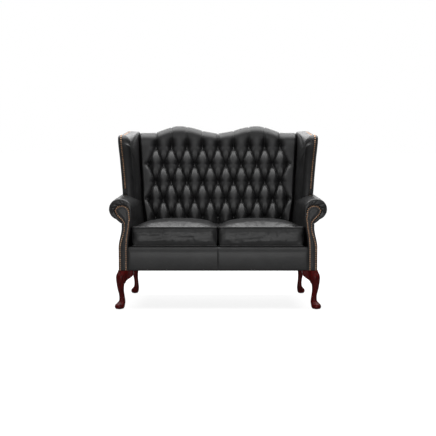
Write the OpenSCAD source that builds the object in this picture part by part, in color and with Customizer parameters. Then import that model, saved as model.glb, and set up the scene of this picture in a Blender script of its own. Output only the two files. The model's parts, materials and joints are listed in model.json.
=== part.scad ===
// High-back wing sofa for two: deep-buttoned inside back under a double-humped crest,
// flat padded wings, scrolled arms with nailed facings, loose box cushions, cabriole legs.
// The front faces -Y, up is +Z, and the floor is Z = 0. Left is -X, as seen from the front.

/* [Body] */
// Width across the outer arm panels
body_w = 1160; // [1080:2:1300]
// Height of the legs, up to the underside of the seat frame
leg_h = 226; // [190:1:260]
// Height of the front seat rail
rail_h = 120; // [100:1:140]
// Distance from the arm fronts back to the foot of the back frame
seat_run = 561; // [520:1:620]
// Fall of the seat towards the back, in degrees
seat_fall = 3; // [1:0.5:5]

/* [Back] */
// Lean of the back, in degrees
back_lean = 12; // [8:0.5:15]
// Height of the middle of the crest above the foot of the back, along its lean
crest_mid = 711; // [680:1:760]
// Rise of the two humps above the middle of the crest
hump_rise = 47; // [20:1:70]
// Distance of each hump from the middle
hump_x = 247; // [200:1:280]
// Distance from the middle at which the humps have died away
hump_end = 442; // [400:1:450]
// Sideways pitch of the buttons, in percent of the back pad's half width
button_share = 19.8; // [18:0.1:20.4]
// Pitch of the rows of buttons along the lean
button_pz = 112.7; // [104:0.1:118]
// Height of the lowest row of buttons along the lean
button_low = 156; // [140:1:166]
// Depth of padding under a button
button_depth = 30; // [20:1:36]
// Rise of a crease between two buttons
crease_rise = 12; // [6:1:16]
// Rise of a tuft above its creases
tuft_rise = 33; // [20:1:38]
// Diameter of a covered button
button_d = 15; // [12:0.5:18]

/* [Arms] */
// Height of the top of the arm roll
arm_h = 647; // [620:1:680]
// Radius of the arm roll
roll_r = 62; // [54:1:66]
// Extra reach of the roll on its inner side
roll_in = 8; // [0:1:12]
// Width of the arm at its base
arm_w = 56; // [50:1:70]
// Thickness of the padding over the arm
arm_pad_t = 16; // [12:0.5:18]
// Distance of the neck below the roll inside the outer arm panel
neck_in = 28; // [20:1:34]

/* [Wings] */
// Distance of the wing's front edge at the arm behind the arm fronts
wing_foot_y = 318; // [300:1:350]
// Forward swell of the wing above its foot
wing_swell = 80; // [50:1:90]
// Height of the wing's front top corner
wing_top_z = 1012; // [980:1:1030]
// Thickness of the wing at its front edge
wing_t = 71; // [64:1:80]
// Lean of the wing outwards with height, in degrees
wing_lean = 2.8; // [1:0.1:3.5]
// Spread of the wing outwards to the front, in degrees
wing_spread = 2.5; // [1.5:0.1:3.5]

/* [Cushions] */
// Thickness of a seat cushion between its seams
cushion_t = 116; // [100:1:130]
// Rise of the crown above the top seam
cushion_crown = 42; // [20:1:48]
// Distance of the cushion fronts behind the arm fronts
cushion_set = 14; // [8:1:30]
// Diameter of the piping
piping_d = 7; // [5:0.5:8]
// Gap between a cushion and what lies beside it
cushion_gap = 3; // [2:0.5:5]

/* [Frame] */
// Thickness of the seat rails
rail_t = 30; // [24:1:36]
// Thickness of the side rails
side_t = 36; // [28:1:38]
// Width of a back post
post_w = 50; // [40:1:54]
// Depth of the back frame
frame_t = 46; // [36:1:50]
// Thickness of the wing boards
board_t = 20; // [16:1:24]
// Thickness of an outer leather panel with its backing
panel_t = 4; // [3:0.5:5]
// Thickness of the padding of the front border
border_t = 14; // [10:1:18]
// Width of a webbing strap
strap_w = 50; // [40:1:60]

/* [Legs and nails] */
// Radius of a front leg at its top
knee_r = 33; // [28:1:36]
// Radius of a front leg at its ankle
ankle_r = 16; // [13:0.5:19]
// Radius of a foot
foot_r = 28; // [24:0.5:30]
// Outward reach of a foot from the leg's top
foot_out = 23; // [14:1:26]
// Diameter of a nail head
nail_d = 8.5; // [8:0.5:10]
// Pitch of the nails
nail_pitch = 12; // [11.5:0.5:16]
// Diameter of the screws that hold the legs
screw_d = 8; // [6:0.5:10]

/* [Hidden] */
$fn = 48;

leather = [0.07, 0.07, 0.075];
timber = [0.72, 0.55, 0.36];
mahogany = [0.3, 0.05, 0.04];
brass = [0.58, 0.42, 0.3];
cloth = [0.12, 0.12, 0.12];
steel = [0.6, 0.6, 0.62];
foam = [0.9, 0.85, 0.7];

// Clearance between pieces that lie against each other
fit = 0.3;
// Half width at the outer face of the arm panels
half_w = body_w / 2;
// Underside and top of the seat frame
base_z = leg_h;
rail_top = base_z + rail_h;
// Thickness of one layer of webbing, and of the deck above the webbing
strap_t = 1.6;
deck_t = 16;
deck_gap = 2 * strap_t + 2 * fit;
// Half width at the inner and outer faces of the side rails
side_out = half_w - panel_t - fit;
side_in = side_out - side_t;
// Half width at the inner and outer faces of the back posts
post_out = side_in - fit;
post_in = post_out - post_w;
// Height at which the back starts to lean
bend_z = rail_top - 16;
// Depth of the outer back panel's rear face behind the front of the back frame, and its drop
// below the crest
back_out = frame_t + fit + panel_t;
crest_drop = 12;
// Distance of a front leg's middle inside the body's corner, the reach of the toes in front
// of the arm fronts, and the reach of the crest behind them
leg_in = 28;
toe_r = foot_r + 0.5;
toe_reach = toe_r + foot_out - leg_in;
back_reach = lean_point(back_out, crest_mid + hump_rise - crest_drop)[0];
mid_y = (back_reach - toe_reach) / 2;

// Moves what is drawn from the arm fronts so that the sofa is centred on the origin
module place() translate([0, -mid_y, 0]) children();
module side(right) mirror([right ? 0 : 1, 0, 0]) children();

// Leans what is drawn from the foot of the back frame's front face
module leaned() translate([0, seat_run, bend_z]) rotate([-back_lean, 0, 0]) children();

// Position of the back frame's front face at a height above the floor
function frame_y(z) = seat_run + max(0, z - bend_z) * tan(back_lean);

// Height of the crest above the foot of the back, along its lean
function hump(x) = let (a = abs(x))
  a < hump_x ? (1 - cos(180 * a / hump_x)) / 2
  : a < hump_end ? (1 + cos(180 * (a - hump_x) / (hump_end - hump_x))) / 2 : 0;
function crest_w(x) = crest_mid + hump_rise * hump(x);

// Height of the seat's slope at a distance behind the arm fronts
function seat_z(z, y) = z - (y - border_t) * tan(seat_fall);

// Triangles and points of a solid skinned over rings with the same number of points. The
// rings run counterclockwise, seen from the last ring, and each end is closed by a strip.
function flat_list(l) = [for (a = l) for (b = a) b];
function skin_faces(rows, n) = concat(
  [for (i = [0 : n / 2 - 2]) [i, i + 1, n - 1 - i]],
  [for (i = [0 : n / 2 - 2]) [i + 1, n - 2 - i, n - 1 - i]],
  [for (i = [0 : n / 2 - 2]) let (b = (rows - 1) * n) [b + i, b + n - 1 - i, b + i + 1]],
  [for (i = [0 : n / 2 - 2]) let (b = (rows - 1) * n)
    [b + i + 1, b + n - 1 - i, b + n - 2 - i]],
  [for (r = [0 : rows - 2], j = [0 : n - 1])
    [r * n + j, (r + 1) * n + j, r * n + (j + 1) % n]],
  [for (r = [0 : rows - 2], j = [0 : n - 1])
    [(r + 1) * n + j, (r + 1) * n + (j + 1) % n, r * n + (j + 1) % n]]);
module skin(rings) polyhedron(flat_list(rings), skin_faces(len(rings), len(rings[0])));

function reversed(l) = [for (i = [len(l) - 1 : -1 : 0]) l[i]];
function mix(a, b, t) = a + (b - a) * t;
function smooth(t) = let (c = max(0, min(1, t))) c * c * (3 - 2 * c);

// Arc of points about a centre, in a plane
function arc(c, rx, rz, a0, a1, n) =
  [for (i = [0 : n]) let (a = mix(a0, a1, i / n)) [c[0] + rx * cos(a), c[1] + rz * sin(a)]];

// Points at equal spacing along an open chain, and the same points with their directions
function chain_len(c, i = 0) = i >= len(c) - 1 ? 0 : norm(c[i + 1] - c[i]) + chain_len(c, i + 1);
function chain_at(c, s, i = 0) = let (d = norm(c[i + 1] - c[i]))
  s <= d || i >= len(c) - 2 ? mix(c[i], c[i + 1], s / d) : chain_at(c, s - d, i + 1);
function chain_dir(c, s, i = 0) = let (d = norm(c[i + 1] - c[i]))
  s <= d || i >= len(c) - 2 ? c[i + 1] - c[i] : chain_dir(c, s - d, i + 1);
function spaced(c, pitch) = let (l = chain_len(c), n = round(l / pitch))
  [for (i = [0 : n]) chain_at(c, l * i / n)];

// Slab between two distances behind the arm fronts, of an outline drawn in X and Z
module slab(y0, y1) translate([0, y1, 0]) rotate([90, 0, 0]) linear_extrude(y1 - y0) children();
// Slab between two distances from the middle, of an outline drawn in Y and Z
module cheek(x0, x1) translate([x0, 0, 0]) rotate([90, 0, 90]) linear_extrude(x1 - x0) children();

// Half width of the back pad at its top, past the posts' inner faces, and at the seat
back_half = post_in + 11;
back_half_low = back_half - 46;
button_px = back_half * button_share / 100;
function back_hw(z) = mix(back_half_low, back_half,
  max(0, min(1, (z - bend_z) / crest_mid)));

// Section of the arm: the roll's centre, the neck below it, and the two faces
roll_cx = half_w - 8;
roll_cz = arm_h - roll_r;
neck_drop = 147;
neck_z = arm_h - neck_drop;
// Where the outer panel starts to curve in above the seat frame, and how far below the neck
// it has done so
neck_start = 14;
neck_end = 20;
deck_z = rail_top + deck_gap + deck_t;
roll_inner = roll_cx - roll_r - roll_in;
function arm_out(z) = half_w
  - neck_in * smooth((z - rail_top - neck_start) / (neck_z - rail_top - neck_start - neck_end));
function arm_in(z) = mix(half_w - arm_w, roll_inner, smooth((z - deck_z) / (roll_cz - deck_z - 25)));
// Inner face at a share of the way back, where it meets the side of the back pad
function arm_x(z, t) = mix(arm_in(z), back_hw(z) + 0.5, t);
// Height of the arm's upholstered top over a point
function arm_top(x, t) = let (rx = x < roll_cx ? roll_cx - arm_x(roll_cz, t) : roll_r)
  roll_cz + roll_r * sqrt(max(0, 1 - pow((x - roll_cx) / rx, 2)));

// Heights at which the two faces of the arm are drawn
arm_heights = [for (i = [0 : 3]) mix(deck_z, roll_cz, i / 4)];
function outer_line(d, z0) = [for (i = [0 : 12]) let (z = max(z0, mix(base_z, neck_z, i / 12)))
  [arm_out(z) - d, z]];
// Chain up the inner face, over the roll and down to the neck, at a depth below the leather
neck_x = half_w - neck_in;
function arm_chain(t, inset, z0) = concat(
  [for (z = concat([z0], arm_heights)) [arm_x(z, t) + inset, z]],
  arc([roll_cx, roll_cz], roll_cx - arm_x(roll_cz, t) - inset, roll_r - inset, 180, 90, 5),
  [for (i = [1 : 9]) let (a = 90 - 160 * i / 9)
    [roll_cx + (roll_r - inset) * cos(a), roll_cz + (roll_r - inset) * sin(a)]],
  [[neck_x + 15 - inset * 0.2, neck_z + 11 + inset * 0.9],
   [neck_x - min(inset * 0.5, panel_t), neck_z + fit + inset * 0.4]]);

// Seat frame
front_y0 = border_t + fit;
front_y1 = front_y0 + rail_t;
arm_post_y0 = 6;
arm_post_y1 = arm_post_y0 + 22;
rear_y1 = seat_run - fit;
rear_y0 = rear_y1 - rail_t;
module cross_rail(y0, y1) cheek(-side_in + fit, side_in - fit) polygon([[y0, base_z],
  [y1, base_z], [y1, seat_z(rail_top, y1)], [y0, seat_z(rail_top, y0)]]);
module front_rail() color(timber) place() cross_rail(front_y0, front_y1);
module rear_rail() color(timber) place() cross_rail(rear_y0, rear_y1);
module side_rail(right) color(timber) place() side(right) difference() {
  cheek(side_in, side_out) polygon([[arm_post_y1 + fit, base_z],
    [seat_run + frame_t, base_z], [seat_run + frame_t, seat_z(rail_top, seat_run + frame_t)],
    [arm_post_y1 + fit, seat_z(rail_top, arm_post_y1)]]);
  translate([screw_front[0], screw_front[1], base_z - 1])
    cylinder(d = screw_d + 2 * fit, h = screw_up + 2);
}
module side_rail_left() side_rail(false);
module side_rail_right() side_rail(true);
module centre_rail() color(timber) place()
  cheek(-rail_t / 2, rail_t / 2) polygon([[front_y1 + fit, base_z + 30],
    [rear_y0 - fit, base_z + 30], [rear_y0 - fit, seat_z(rail_top - 8, rear_y0)],
    [front_y1 + fit, seat_z(rail_top - 8, front_y1)]]);

// Triangular blocks glued into the four corners
block = 90;
block_h = 60;
module corner_blocks() color(timber) place() for (right = [false, true]) side(right) {
  translate([side_in - fit, front_y1 + fit, base_z]) linear_extrude(block_h)
    polygon([[0, 0], [-block, 0], [0, block]]);
  translate([side_in - fit, rear_y0 - fit, base_z]) linear_extrude(block_h)
    polygon([[0, 0], [0, -block], [-block, 0]]);
}

// Raked posts, and the rails between them
post_top = crest_mid - 28;
module back_post(right) color(timber) place() side(right) difference() {
  cheek(post_in, post_out) polygon([[seat_run, base_z], [seat_run + frame_t, base_z],
    [seat_run + frame_t, bend_z - (frame_t) * tan(back_lean / 2)],
    lean_point(frame_t, post_top), lean_point(0, post_top), [seat_run, bend_z]]);
  translate([screw_rear[0], screw_rear[1], base_z - 1])
    cylinder(d = screw_d + 2 * fit, h = screw_up + 2);
}
module back_post_left() back_post(false);
module back_post_right() back_post(true);
// Point in Y and Z at a depth and height in the leaned back
function lean_point(d, w) = [seat_run + d * cos(back_lean) + w * sin(back_lean),
  bend_z - d * sin(back_lean) + w * cos(back_lean)];
crest_pad = 28;
crest_low = crest_mid - 110;
module crest_rail() color(timber) place() leaned()
  slab(0, rail_t) polygon(concat(
    [[post_in - fit, crest_low], [-post_in + fit, crest_low]],
    [for (i = [-24 : 24]) let (x = i / 24 * (post_in - fit)) [x, crest_w(x) - crest_pad]]));
low_rail_w = 70;
module back_lower_rail() color(timber) place() leaned()
  translate([-post_in + fit, 0, low_rail_w]) cube([2 * (post_in - fit), rail_t, 70]);
module back_centre_stile() color(timber) place() leaned()
  translate([-30, 0, low_rail_w + 70 + fit])
    cube([60, rail_t, crest_low - low_rail_w - 70 - 2 * fit]);

// Front post of the arm, shaped to the scroll, and the rail that runs back from it
module arm_post(right) color(timber) place() side(right) slab(arm_post_y0, arm_post_y1)
  polygon(concat(arm_chain(0, arm_pad_t + fit, base_z),
    reversed(outer_line(panel_t + fit, base_z))));
module arm_post_left() arm_post(false);
module arm_post_right() arm_post(true);
arm_rail_x0 = side_in - 4;
arm_rail_z1 = roll_cz + 19;
arm_rail_h = 44;
module arm_rail(right) color(timber) place() side(right)
  cheek(arm_rail_x0, arm_rail_x0 + 58) polygon([[arm_post_y1 + fit, arm_rail_z1 - arm_rail_h],
    [frame_y(arm_rail_z1 - arm_rail_h) - fit, arm_rail_z1 - arm_rail_h],
    [frame_y(arm_rail_z1) - fit, arm_rail_z1], [arm_post_y1 + fit, arm_rail_z1]]);
module arm_rail_left() arm_rail(false);
module arm_rail_right() arm_rail(true);

// Wings stand on the arm rails, lean outwards and spread to the front
wing_y0 = wing_foot_y;
wing_z0 = arm_h - 13;
wing_x0 = post_out + panel_t + board_t + 2 * fit
  + (frame_y(arm_h) + frame_t - wing_foot_y) * tan(wing_spread)
  + (wing_z0 - arm_rail_z1) * tan(wing_lean);
wing_back_w = crest_mid + 8;
module wing_place() translate([wing_x0, wing_y0, wing_z0])
  rotate([0, wing_lean, 0]) rotate([0, 0, wing_spread]) translate([0, -wing_y0, -wing_z0])
    children();
// Point at a depth inside the outer wing panel's face
function wing_point(y, z, d) = let (
    x1 = -d * cos(wing_spread) - (y - wing_y0) * sin(wing_spread),
    y1 = -d * sin(wing_spread) + (y - wing_y0) * cos(wing_spread),
    z1 = z - wing_z0)
  [wing_x0 + x1 * cos(wing_lean) + z1 * sin(wing_lean), wing_y0 + y1,
   wing_z0 - x1 * sin(wing_lean) + z1 * cos(wing_lean)];
// Curve through a list of points, with a number of steps between each two
function curve_through(p, n) = concat([for (i = [0 : len(p) - 2], k = [0 : n - 1]) let (
    t = k / n,
    a = p[max(i - 1, 0)],
    b = p[i],
    c = p[i + 1],
    d = p[min(i + 2, len(p) - 1)])
  0.5 * (2 * b + (c - a) * t + (2 * a - 5 * b + 4 * c - d) * t * t
    + (3 * b - a - 3 * c + d) * t * t * t)], [p[len(p) - 1]]);
wing_rise = wing_top_z - arm_h;
wing_back = lean_point(0, wing_back_w);
wing_edge = curve_through([[wing_foot_y, arm_h - 16],
  [wing_foot_y - 0.16 * wing_swell, arm_h + 0.26 * wing_rise],
  [wing_foot_y - 0.5 * wing_swell, arm_h + 0.58 * wing_rise],
  [wing_foot_y - 0.9 * wing_swell, arm_h + 0.8 * wing_rise],
  [wing_foot_y - wing_swell, wing_top_z - 38],
  [wing_foot_y - 0.88 * wing_swell, wing_top_z - 8],
  [wing_foot_y - 0.45 * wing_swell, wing_top_z + 2],
  [wing_foot_y + 0.5 * wing_swell, wing_top_z - 3],
  [mix(wing_foot_y, wing_back[0], 0.5), mix(wing_top_z, wing_back[1], 0.42)],
  wing_back], 2);
// The edge moved in along its normal
function edge_in(e, d) = [for (i = [0 : len(e) - 1]) let (
    a = e[max(i - 1, 0)],
    b = e[min(i + 1, len(e) - 1)],
    u = (b - a) / norm(b - a))
  e[i] + d * [u[1], -u[0]]];
function wing_loop(inset, z0, back_in) = let (
    front = concat([[wing_foot_y + inset, z0]],
      edge_in([for (p = wing_edge) if (p[1] > z0 + 4) p], inset)),
    a = [frame_y(z0) + (frame_t - back_in) / cos(back_lean), z0],
    b = lean_point(frame_t - back_in, wing_back_w - inset),
    n = len(front) - 1)
  concat(front, [for (i = [n : -1 : 0]) mix(a, b, i / n)]);
module wing_outline(inset, z0, back_in) polygon(wing_loop(inset, z0, back_in));
wing_rim = 5;
module wing_board(right) color(timber) place() side(right)
  wing_place() cheek(-panel_t - fit - board_t, -panel_t - fit)
    wing_outline(wing_rim + fit, arm_rail_z1 + 1.5, panel_t);
module wing_board_left() wing_board(false);
module wing_board_right() wing_board(true);

// Frame of reference on the sloping deck, with its top at zero height
module seated() translate([0, border_t, deck_z]) rotate([-seat_fall, 0, 0]) children();
seat_len = (rear_y1 - border_t) / cos(seat_fall);

// Webbing strap that passes over and under the straps across it, drawn along X
strap_pitch = 80;
function strap_levels(from, to, at, up) = concat([[from, up ? 1 : 0]],
  [for (i = [0 : len(at) - 1], e = [-1, 1])
    [at[i] + e * strap_w / 2, (i + (up ? 1 : 0)) % 2]],
  [[to, (len(at) - 1 + (up ? 1 : 0)) % 2]]);
module strap(from, to, at, up) let (
    l = [for (p = strap_levels(from, to, at, up)) [p[0], p[1] * (strap_t + fit)]])
  rotate([90, 0, 0]) translate([0, 0, -strap_w / 2]) linear_extrude(strap_w)
    polygon(concat(l, reversed([for (p = l) [p[0], p[1] + strap_t]])));
module web(x_at, y_at, x_end, y_ends) {
  for (j = [0 : len(y_at) - 1])
    translate([0, y_at[j], 0]) strap(-x_end, x_end, x_at, j % 2 == 0);
  for (i = [0 : len(x_at) - 1])
    translate([x_at[i], 0, 0]) rotate([0, 0, 90])
      strap(y_ends[0], y_ends[1], y_at, i % 2 == 1);
}
seat_web_n = floor((half_w - arm_w - strap_w) / strap_pitch);
module seat_webbing() color(cloth) place() seated()
  translate([0, 0, -deck_t - deck_gap + fit])
    web([for (i = [-seat_web_n : seat_web_n]) i * strap_pitch],
      [for (y = [70 : strap_pitch : seat_len - 60]) y], side_in + side_t / 2, [2, seat_len]);
back_strap_pitch = 90;
module back_webbing() color(cloth) place() leaned() rotate([90, 0, 0]) translate([0, 0, fit])
  web([for (i = [-4 : 4]) i * back_half / 4.8],
    [for (w = [low_rail_w + 120 : back_strap_pitch : crest_low - 20]) w], back_half + 12,
    [low_rail_w + 20, crest_low + 40]);

// Padded deck under the cushions, its lower front edge clear of the border
deck_front = fit + deck_t * tan(seat_fall);
module seat_deck() color(leather) place() seated()
  translate([0, 0, -deck_t]) linear_extrude(deck_t) polygon([
    [half_w - arm_w - 2 * fit, deck_front], [back_half_low - fit, seat_len],
    [-back_half_low + fit, seat_len], [-half_w + arm_w + 2 * fit, deck_front]]);

// Front border: a padded face with a seam in its middle
module front_border() color(leather) place() difference() {
  cheek(-half_w + arm_w + fit, half_w - arm_w - fit) polygon(concat(
    [[border_t, base_z], [border_t, deck_z]],
    [for (i = [0 : 12]) let (a = mix(90, -90, i / 12))
      [border_t - 3 - 9 * cos(a), mix(base_z, deck_z, (1 + sin(a)) / 2)]]));
  translate([0, border_t - 12, base_z - 1]) rotate([0, 0, 45])
    translate([-1.6, -1.6, 0]) cube([3.2, 3.2, rail_h + 30]);
}

// Tufted back pad. Buttons lie on a diamond lattice, and the pad is meshed on that lattice,
// four steps to each pitch, so that every crease runs along edges of the mesh.
pad_back = -deck_gap - fit;
function valley(u) = sin(180 * abs(u - round(u)));
function tuft(x, w) = let (
    k = (w - button_low) / (2 * button_pz),
    a = valley(x / button_px + k),
    b = valley(x / button_px - k),
    top = button_low + 4 * button_pz,
    fade = smooth(w / button_low) * smooth((back_hw(bend_z + w) - abs(x)) / 40),
    pleat = abs(x) < 4.2 * button_px ? valley(x / button_px) : 1,
    s = smooth((w - top - button_pz / 4) / (button_pz / 2)))
  button_depth + mix(crease_rise * max(a, b) + tuft_rise * sqrt(a * b),
    crease_rise + tuft_rise * 0.55 + 3 * pleat, s) * fade
    + 12 * (1 - smooth((back_hw(bend_z + w) - abs(x)) / 40));
main_rows = 20;
low_w = 14;
// Radius of the roll over the crest
crest_roll = 58;
// Rows from the bottom of the front, over the crest and down to the back: height and depth
function pad_row(r, x) = let (top = button_low + 4 * button_pz, c = crest_w(x))
  r == 0 ? [low_w, 30 + 8]
  : r <= main_rows ? let (w = top - (main_rows - r) * button_pz / 4) [w, tuft(x, w)]
  : r == main_rows + 1 ? let (w = mix(top, c - crest_roll, 0.5)) [w, tuft(x, w)]
  : r <= main_rows + 7 ? let (a = 18 * (r - main_rows - 2))
    [c - crest_roll * (1 - sin(a)), tuft(x, c - crest_roll) - crest_roll * (1 - cos(a))]
  : r == main_rows + 8 ? [c - 4, -frame_t + 10]
  : r == main_rows + 9 ? [c - 12, -frame_t]
  : r == main_rows + 10 ? [c - crest_pad + fit, -frame_t]
  : r == main_rows + 11 ? [c - crest_pad + fit, -pad_back]
  : [low_w, -pad_back];
pad_rows = main_rows + 13;
half_n = 18;
function pad_x(r, j) = let (odd = r % 2, n = 2 * half_n + (odd ? 2 : 3),
    z = bend_z + min(pad_row(r, 0)[0], crest_mid))
  j == 0 ? -back_hw(z)
  : j == n - 1 ? back_hw(z)
  : (j - 1 - half_n + (odd ? 0.5 : 0)) * button_px / 4;
function pad_count(r) = 2 * half_n + (r % 2 ? 2 : 3);
function pad_start(r) = floor(r / 2) * (4 * half_n + 5) + (r % 2 ? 2 * half_n + 3 : 0);
function pad_index(r, j) = pad_start(r) + j;
function pad_strip(r) = let (n = 2 * half_n + 2) r % 2 == 0
  ? concat([for (k = [0 : n - 1]) [pad_index(r, k), pad_index(r + 1, k), pad_index(r, k + 1)]],
    [for (k = [0 : n - 2])
      [pad_index(r + 1, k), pad_index(r + 1, k + 1), pad_index(r, k + 1)]])
  : concat([for (k = [0 : n - 1])
      [pad_index(r, k), pad_index(r + 1, k), pad_index(r + 1, k + 1)]],
    [for (k = [0 : n - 2]) [pad_index(r, k), pad_index(r + 1, k + 1), pad_index(r, k + 1)]]);
pad_hub = main_rows + 11;
pad_last = pad_rows - 1;
function pad_side(left) = let (
    e = [for (r = [0 : pad_last]) pad_index(r, left ? 0 : pad_count(r) - 1)],
    v = e[pad_hub])
  [for (r = [0 : pad_last]) let (s = (r + 1) % pad_rows)
    if (r != pad_hub && s != pad_hub) left ? [v, e[s], e[r]] : [v, e[r], e[s]]];
module back_pad() color(leather) place() leaned() polyhedron(
  [for (r = [0 : pad_last], j = [0 : pad_count(r) - 1]) let (x = pad_x(r, j), p = pad_row(r, x))
    [x, -p[1], p[0]]],
  concat([for (r = [0 : pad_last - 1], f = pad_strip(r)) f],
    [for (k = [0 : pad_count(0) - 2])
      [pad_index(pad_last, k), pad_index(0, k), pad_index(0, k + 1)]],
    [for (k = [0 : pad_count(0) - 2])
      [pad_index(pad_last, k), pad_index(0, k + 1), pad_index(pad_last, k + 1)]],
    pad_side(true), pad_side(false)));

// Covered buttons, each with its neck reaching to the bottom of its hollow
button_neck = 0.7 * button_d;
button_top = 3;
module button() {
  cylinder(r1 = 0.4, r2 = button_d / 2, h = button_neck);
  translate([0, 0, button_neck]) cylinder(r1 = button_d / 2, r2 = 0.3 * button_d, h = button_top);
}
module back_buttons() color(leather) place() leaned()
  for (i = [0 : 4], j = [-4 : i % 2 ? 5 : 4]) let (
      x = (j - (i % 2) / 2) * button_px,
      w = button_low + i * button_pz)
    translate([x, -tuft(x, w) - fit, w]) rotate([90, 0, 0]) button();

// Arm pad: a shell of padding over the post and rail, with a rim round the facing
facing_in = 8;
rim_y = arm_post_y0 - fit;
arm_lift_y = front_y0 - fit / 2;
arm_low = deck_gap + 0.5;
// Ring of the arm pad at a place and at a share of the way back
function arm_ring(y, t, e, core, z0) =
  [for (p = concat(arm_chain(t, e, z0), reversed(arm_chain(t, core, z0))))
    [p[0], mix(y, arm_back(p), t), p[1]]];
// Rear end of the arm: in front of the back post and its webbing, and past its outer side
// to its rear
web_room = (deck_gap + 2 * fit) / cos(back_lean);
function arm_back(p) = frame_y(p[1]) - web_room
  + (web_room + frame_t / cos(back_lean)) * smooth((p[0] - post_out - board_t - 6) / 20);
arm_turns = [0.25, 0.5, 0.75, 1];
function arm_base(t) = seat_z(rail_top, mix(border_t, seat_run, t)) + arm_low;
// Upper half of the roll, a hair larger than the arm pad, to cut what rests on the arm
roll_first = len(arm_heights) + 1;
function roll_ring(t, past) = let (
    c = arm_chain(t, -fit, deck_z),
    top = [for (i = [roll_first : roll_first + 10]) c[i]],
    low = [for (p = reversed(top)) [p[0], roll_cz - 20]])
  [for (p = concat(top, low)) [p[0], mix(front_y0, arm_back(p), t) + past, p[1]]];
module roll_block() skin(concat([for (t = concat([0], arm_turns)) roll_ring(t, 0)],
  [roll_ring(1, 6)]));
function flat_ring(y, e, core, z0) = let (r = arm_ring(y, 0, e, core, z0))
  [for (p = r) [p[0], y, p[2]]];
// Ring in front of the arm post, open in its middle for the facing
function front_ring(y, e) = let (a = arm_chain(0, e, base_z), b = facing_edge(-fit))
  [for (p = concat(a, [for (i = [len(a) - 1 : -1 : 0]) b[i]])) [p[0], y, p[1]]];
module arm_pad(right) color(leather) place() side(right) difference() {
  skin(concat([front_ring(1.5, 3), front_ring(rim_y, 0),
    flat_ring(rim_y + 0.2, 0, arm_pad_t, base_z),
    flat_ring(front_y0 - fit, 0, arm_pad_t, base_z),
    flat_ring(arm_lift_y, 0, arm_pad_t, arm_base(0))],
    [for (t = arm_turns) arm_ring(front_y0, t, 0, arm_pad_t, arm_base(t))]));
  wing_place() cheek(-panel_t - board_t - 2 * fit, -panel_t) polygon([
    [wing_foot_y + fit, roll_cz], [wing_foot_y + fit, wing_top_z],
    [back_reach, wing_top_z], [back_reach, roll_cz]]);
}
module arm_pad_left() arm_pad(false);
module arm_pad_right() arm_pad(true);

// Facing on the front of the arm, and the line of nails along its edge: how much smaller its
// scroll is than the roll, and how far it sits inwards and down
scroll_in = 17;
scroll_side = 13;
scroll_drop = 22;
function facing_edge(e) = concat(
  [for (z = concat([max(base_z, base_z + e)], arm_heights)) [arm_in(z) + facing_in + e, z]],
  arc([roll_cx - scroll_side, roll_cz - scroll_drop], roll_r - scroll_in - e,
    roll_r - scroll_in - e, 190, 18, 13),
  [[roll_cx + 16 - e, roll_cz - 35], [roll_cx - 8 - e, neck_z + 26],
   [neck_x - panel_t - fit - e, neck_z + 8]],
  reversed(outer_line(panel_t + 2 * fit + e, base_z + e)));
facing_t = 5;
facing_y0 = rim_y - facing_t;
module arm_facing(right) color(leather) place() side(right)
  slab(facing_y0, rim_y) polygon(facing_edge(0));
module arm_facing_left() arm_facing(false);
module arm_facing_right() arm_facing(true);
nail_h = 2.4;
module nail() let (r = nail_d / 2, ball = (r * r + nail_h * nail_h) / (2 * nail_h))
  intersection() {
    translate([0, 0, nail_h - ball]) sphere(ball);
    cylinder(r = ball, h = nail_h + 1);
  }
module arm_nails(right) color(brass) place() side(right) {
  for (p = spaced(facing_edge(nail_d / 2 + 0.4), nail_pitch))
    translate([p[0], facing_y0, p[1]]) rotate([90, 0, 0]) nail();
}
module arm_nails_left() arm_nails(false);
module arm_nails_right() arm_nails(true);

// Outer arm panel, from the base up to the neck and back round the post
module outer_arm_panel(right) color(leather) place() side(right) intersection() {
  slab(1.5, seat_run + 2 * frame_t + panel_t) polygon(concat(
    outer_line(0, base_z), reversed(outer_line(panel_t, base_z))));
  cheek(0, half_w + 1) polygon([[0, base_z - 1], [seat_run + back_out, base_z - 1],
    [seat_run + back_out, bend_z - back_out * tan(back_lean / 2)],
    lean_point(back_out, arm_h - bend_z), [0, arm_h]]);
}
module outer_arm_panel_left() outer_arm_panel(false);
module outer_arm_panel_right() outer_arm_panel(true);

// Wing pad: rounded along its front and top edges, closed against the back frame
wing_pad_d = panel_t + board_t + 3 * fit;
wing_lip = wing_t - wing_pad_d;
wing_n = len(wing_edge);
// Section of the wing pad: share of its thickness, and depth inside the edge at the front
// and at the top
wing_section = [[0, 1, 1], [0.1, -3, -2], [0.3, -5, 1], [0.52, -2, 8], [0.72, 6, 20],
  [0.88, 18, 36], [1, 38, 58]];
wing_top_roll = 40;
wing_spine_z = wing_top_z - wing_top_roll;
wing_low_z = roll_cz + 15;
// Gap between the wing pad and the side of the back pad
wing_gap = 1.5;
function wing_ring(i) = let (
    s = i / (wing_n - 1),
    z = mix(wing_low_z, wing_spine_z, s),
    low = [wing_foot_y, wing_low_z],
    top = smooth((s - 0.5) / 0.25),
    front = [for (q = wing_section) let (
        e = i == 0 ? low + [q[1], 0] : edge_in(wing_edge, mix(q[1], q[2], top))[i])
      wing_point(min(e[0], frame_y(e[1]) - 2 * fit), e[1], wing_pad_d + q[0] * wing_lip)],
    y = frame_y(z) - web_room,
    rear = [for (q = wing_section) let (a = wing_point(y, z, wing_pad_d))
      [mix(a[0], back_hw(z) + wing_gap, q[0]), y, z]])
  concat(front, reversed(rear));
module wing_pad(right) color(leather) place() side(right) difference() {
  skin([for (i = [0 : wing_n - 1]) reversed(wing_ring(i))]);
  roll_block();
}
module wing_pad_left() wing_pad(false);
module wing_pad_right() wing_pad(true);

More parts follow.
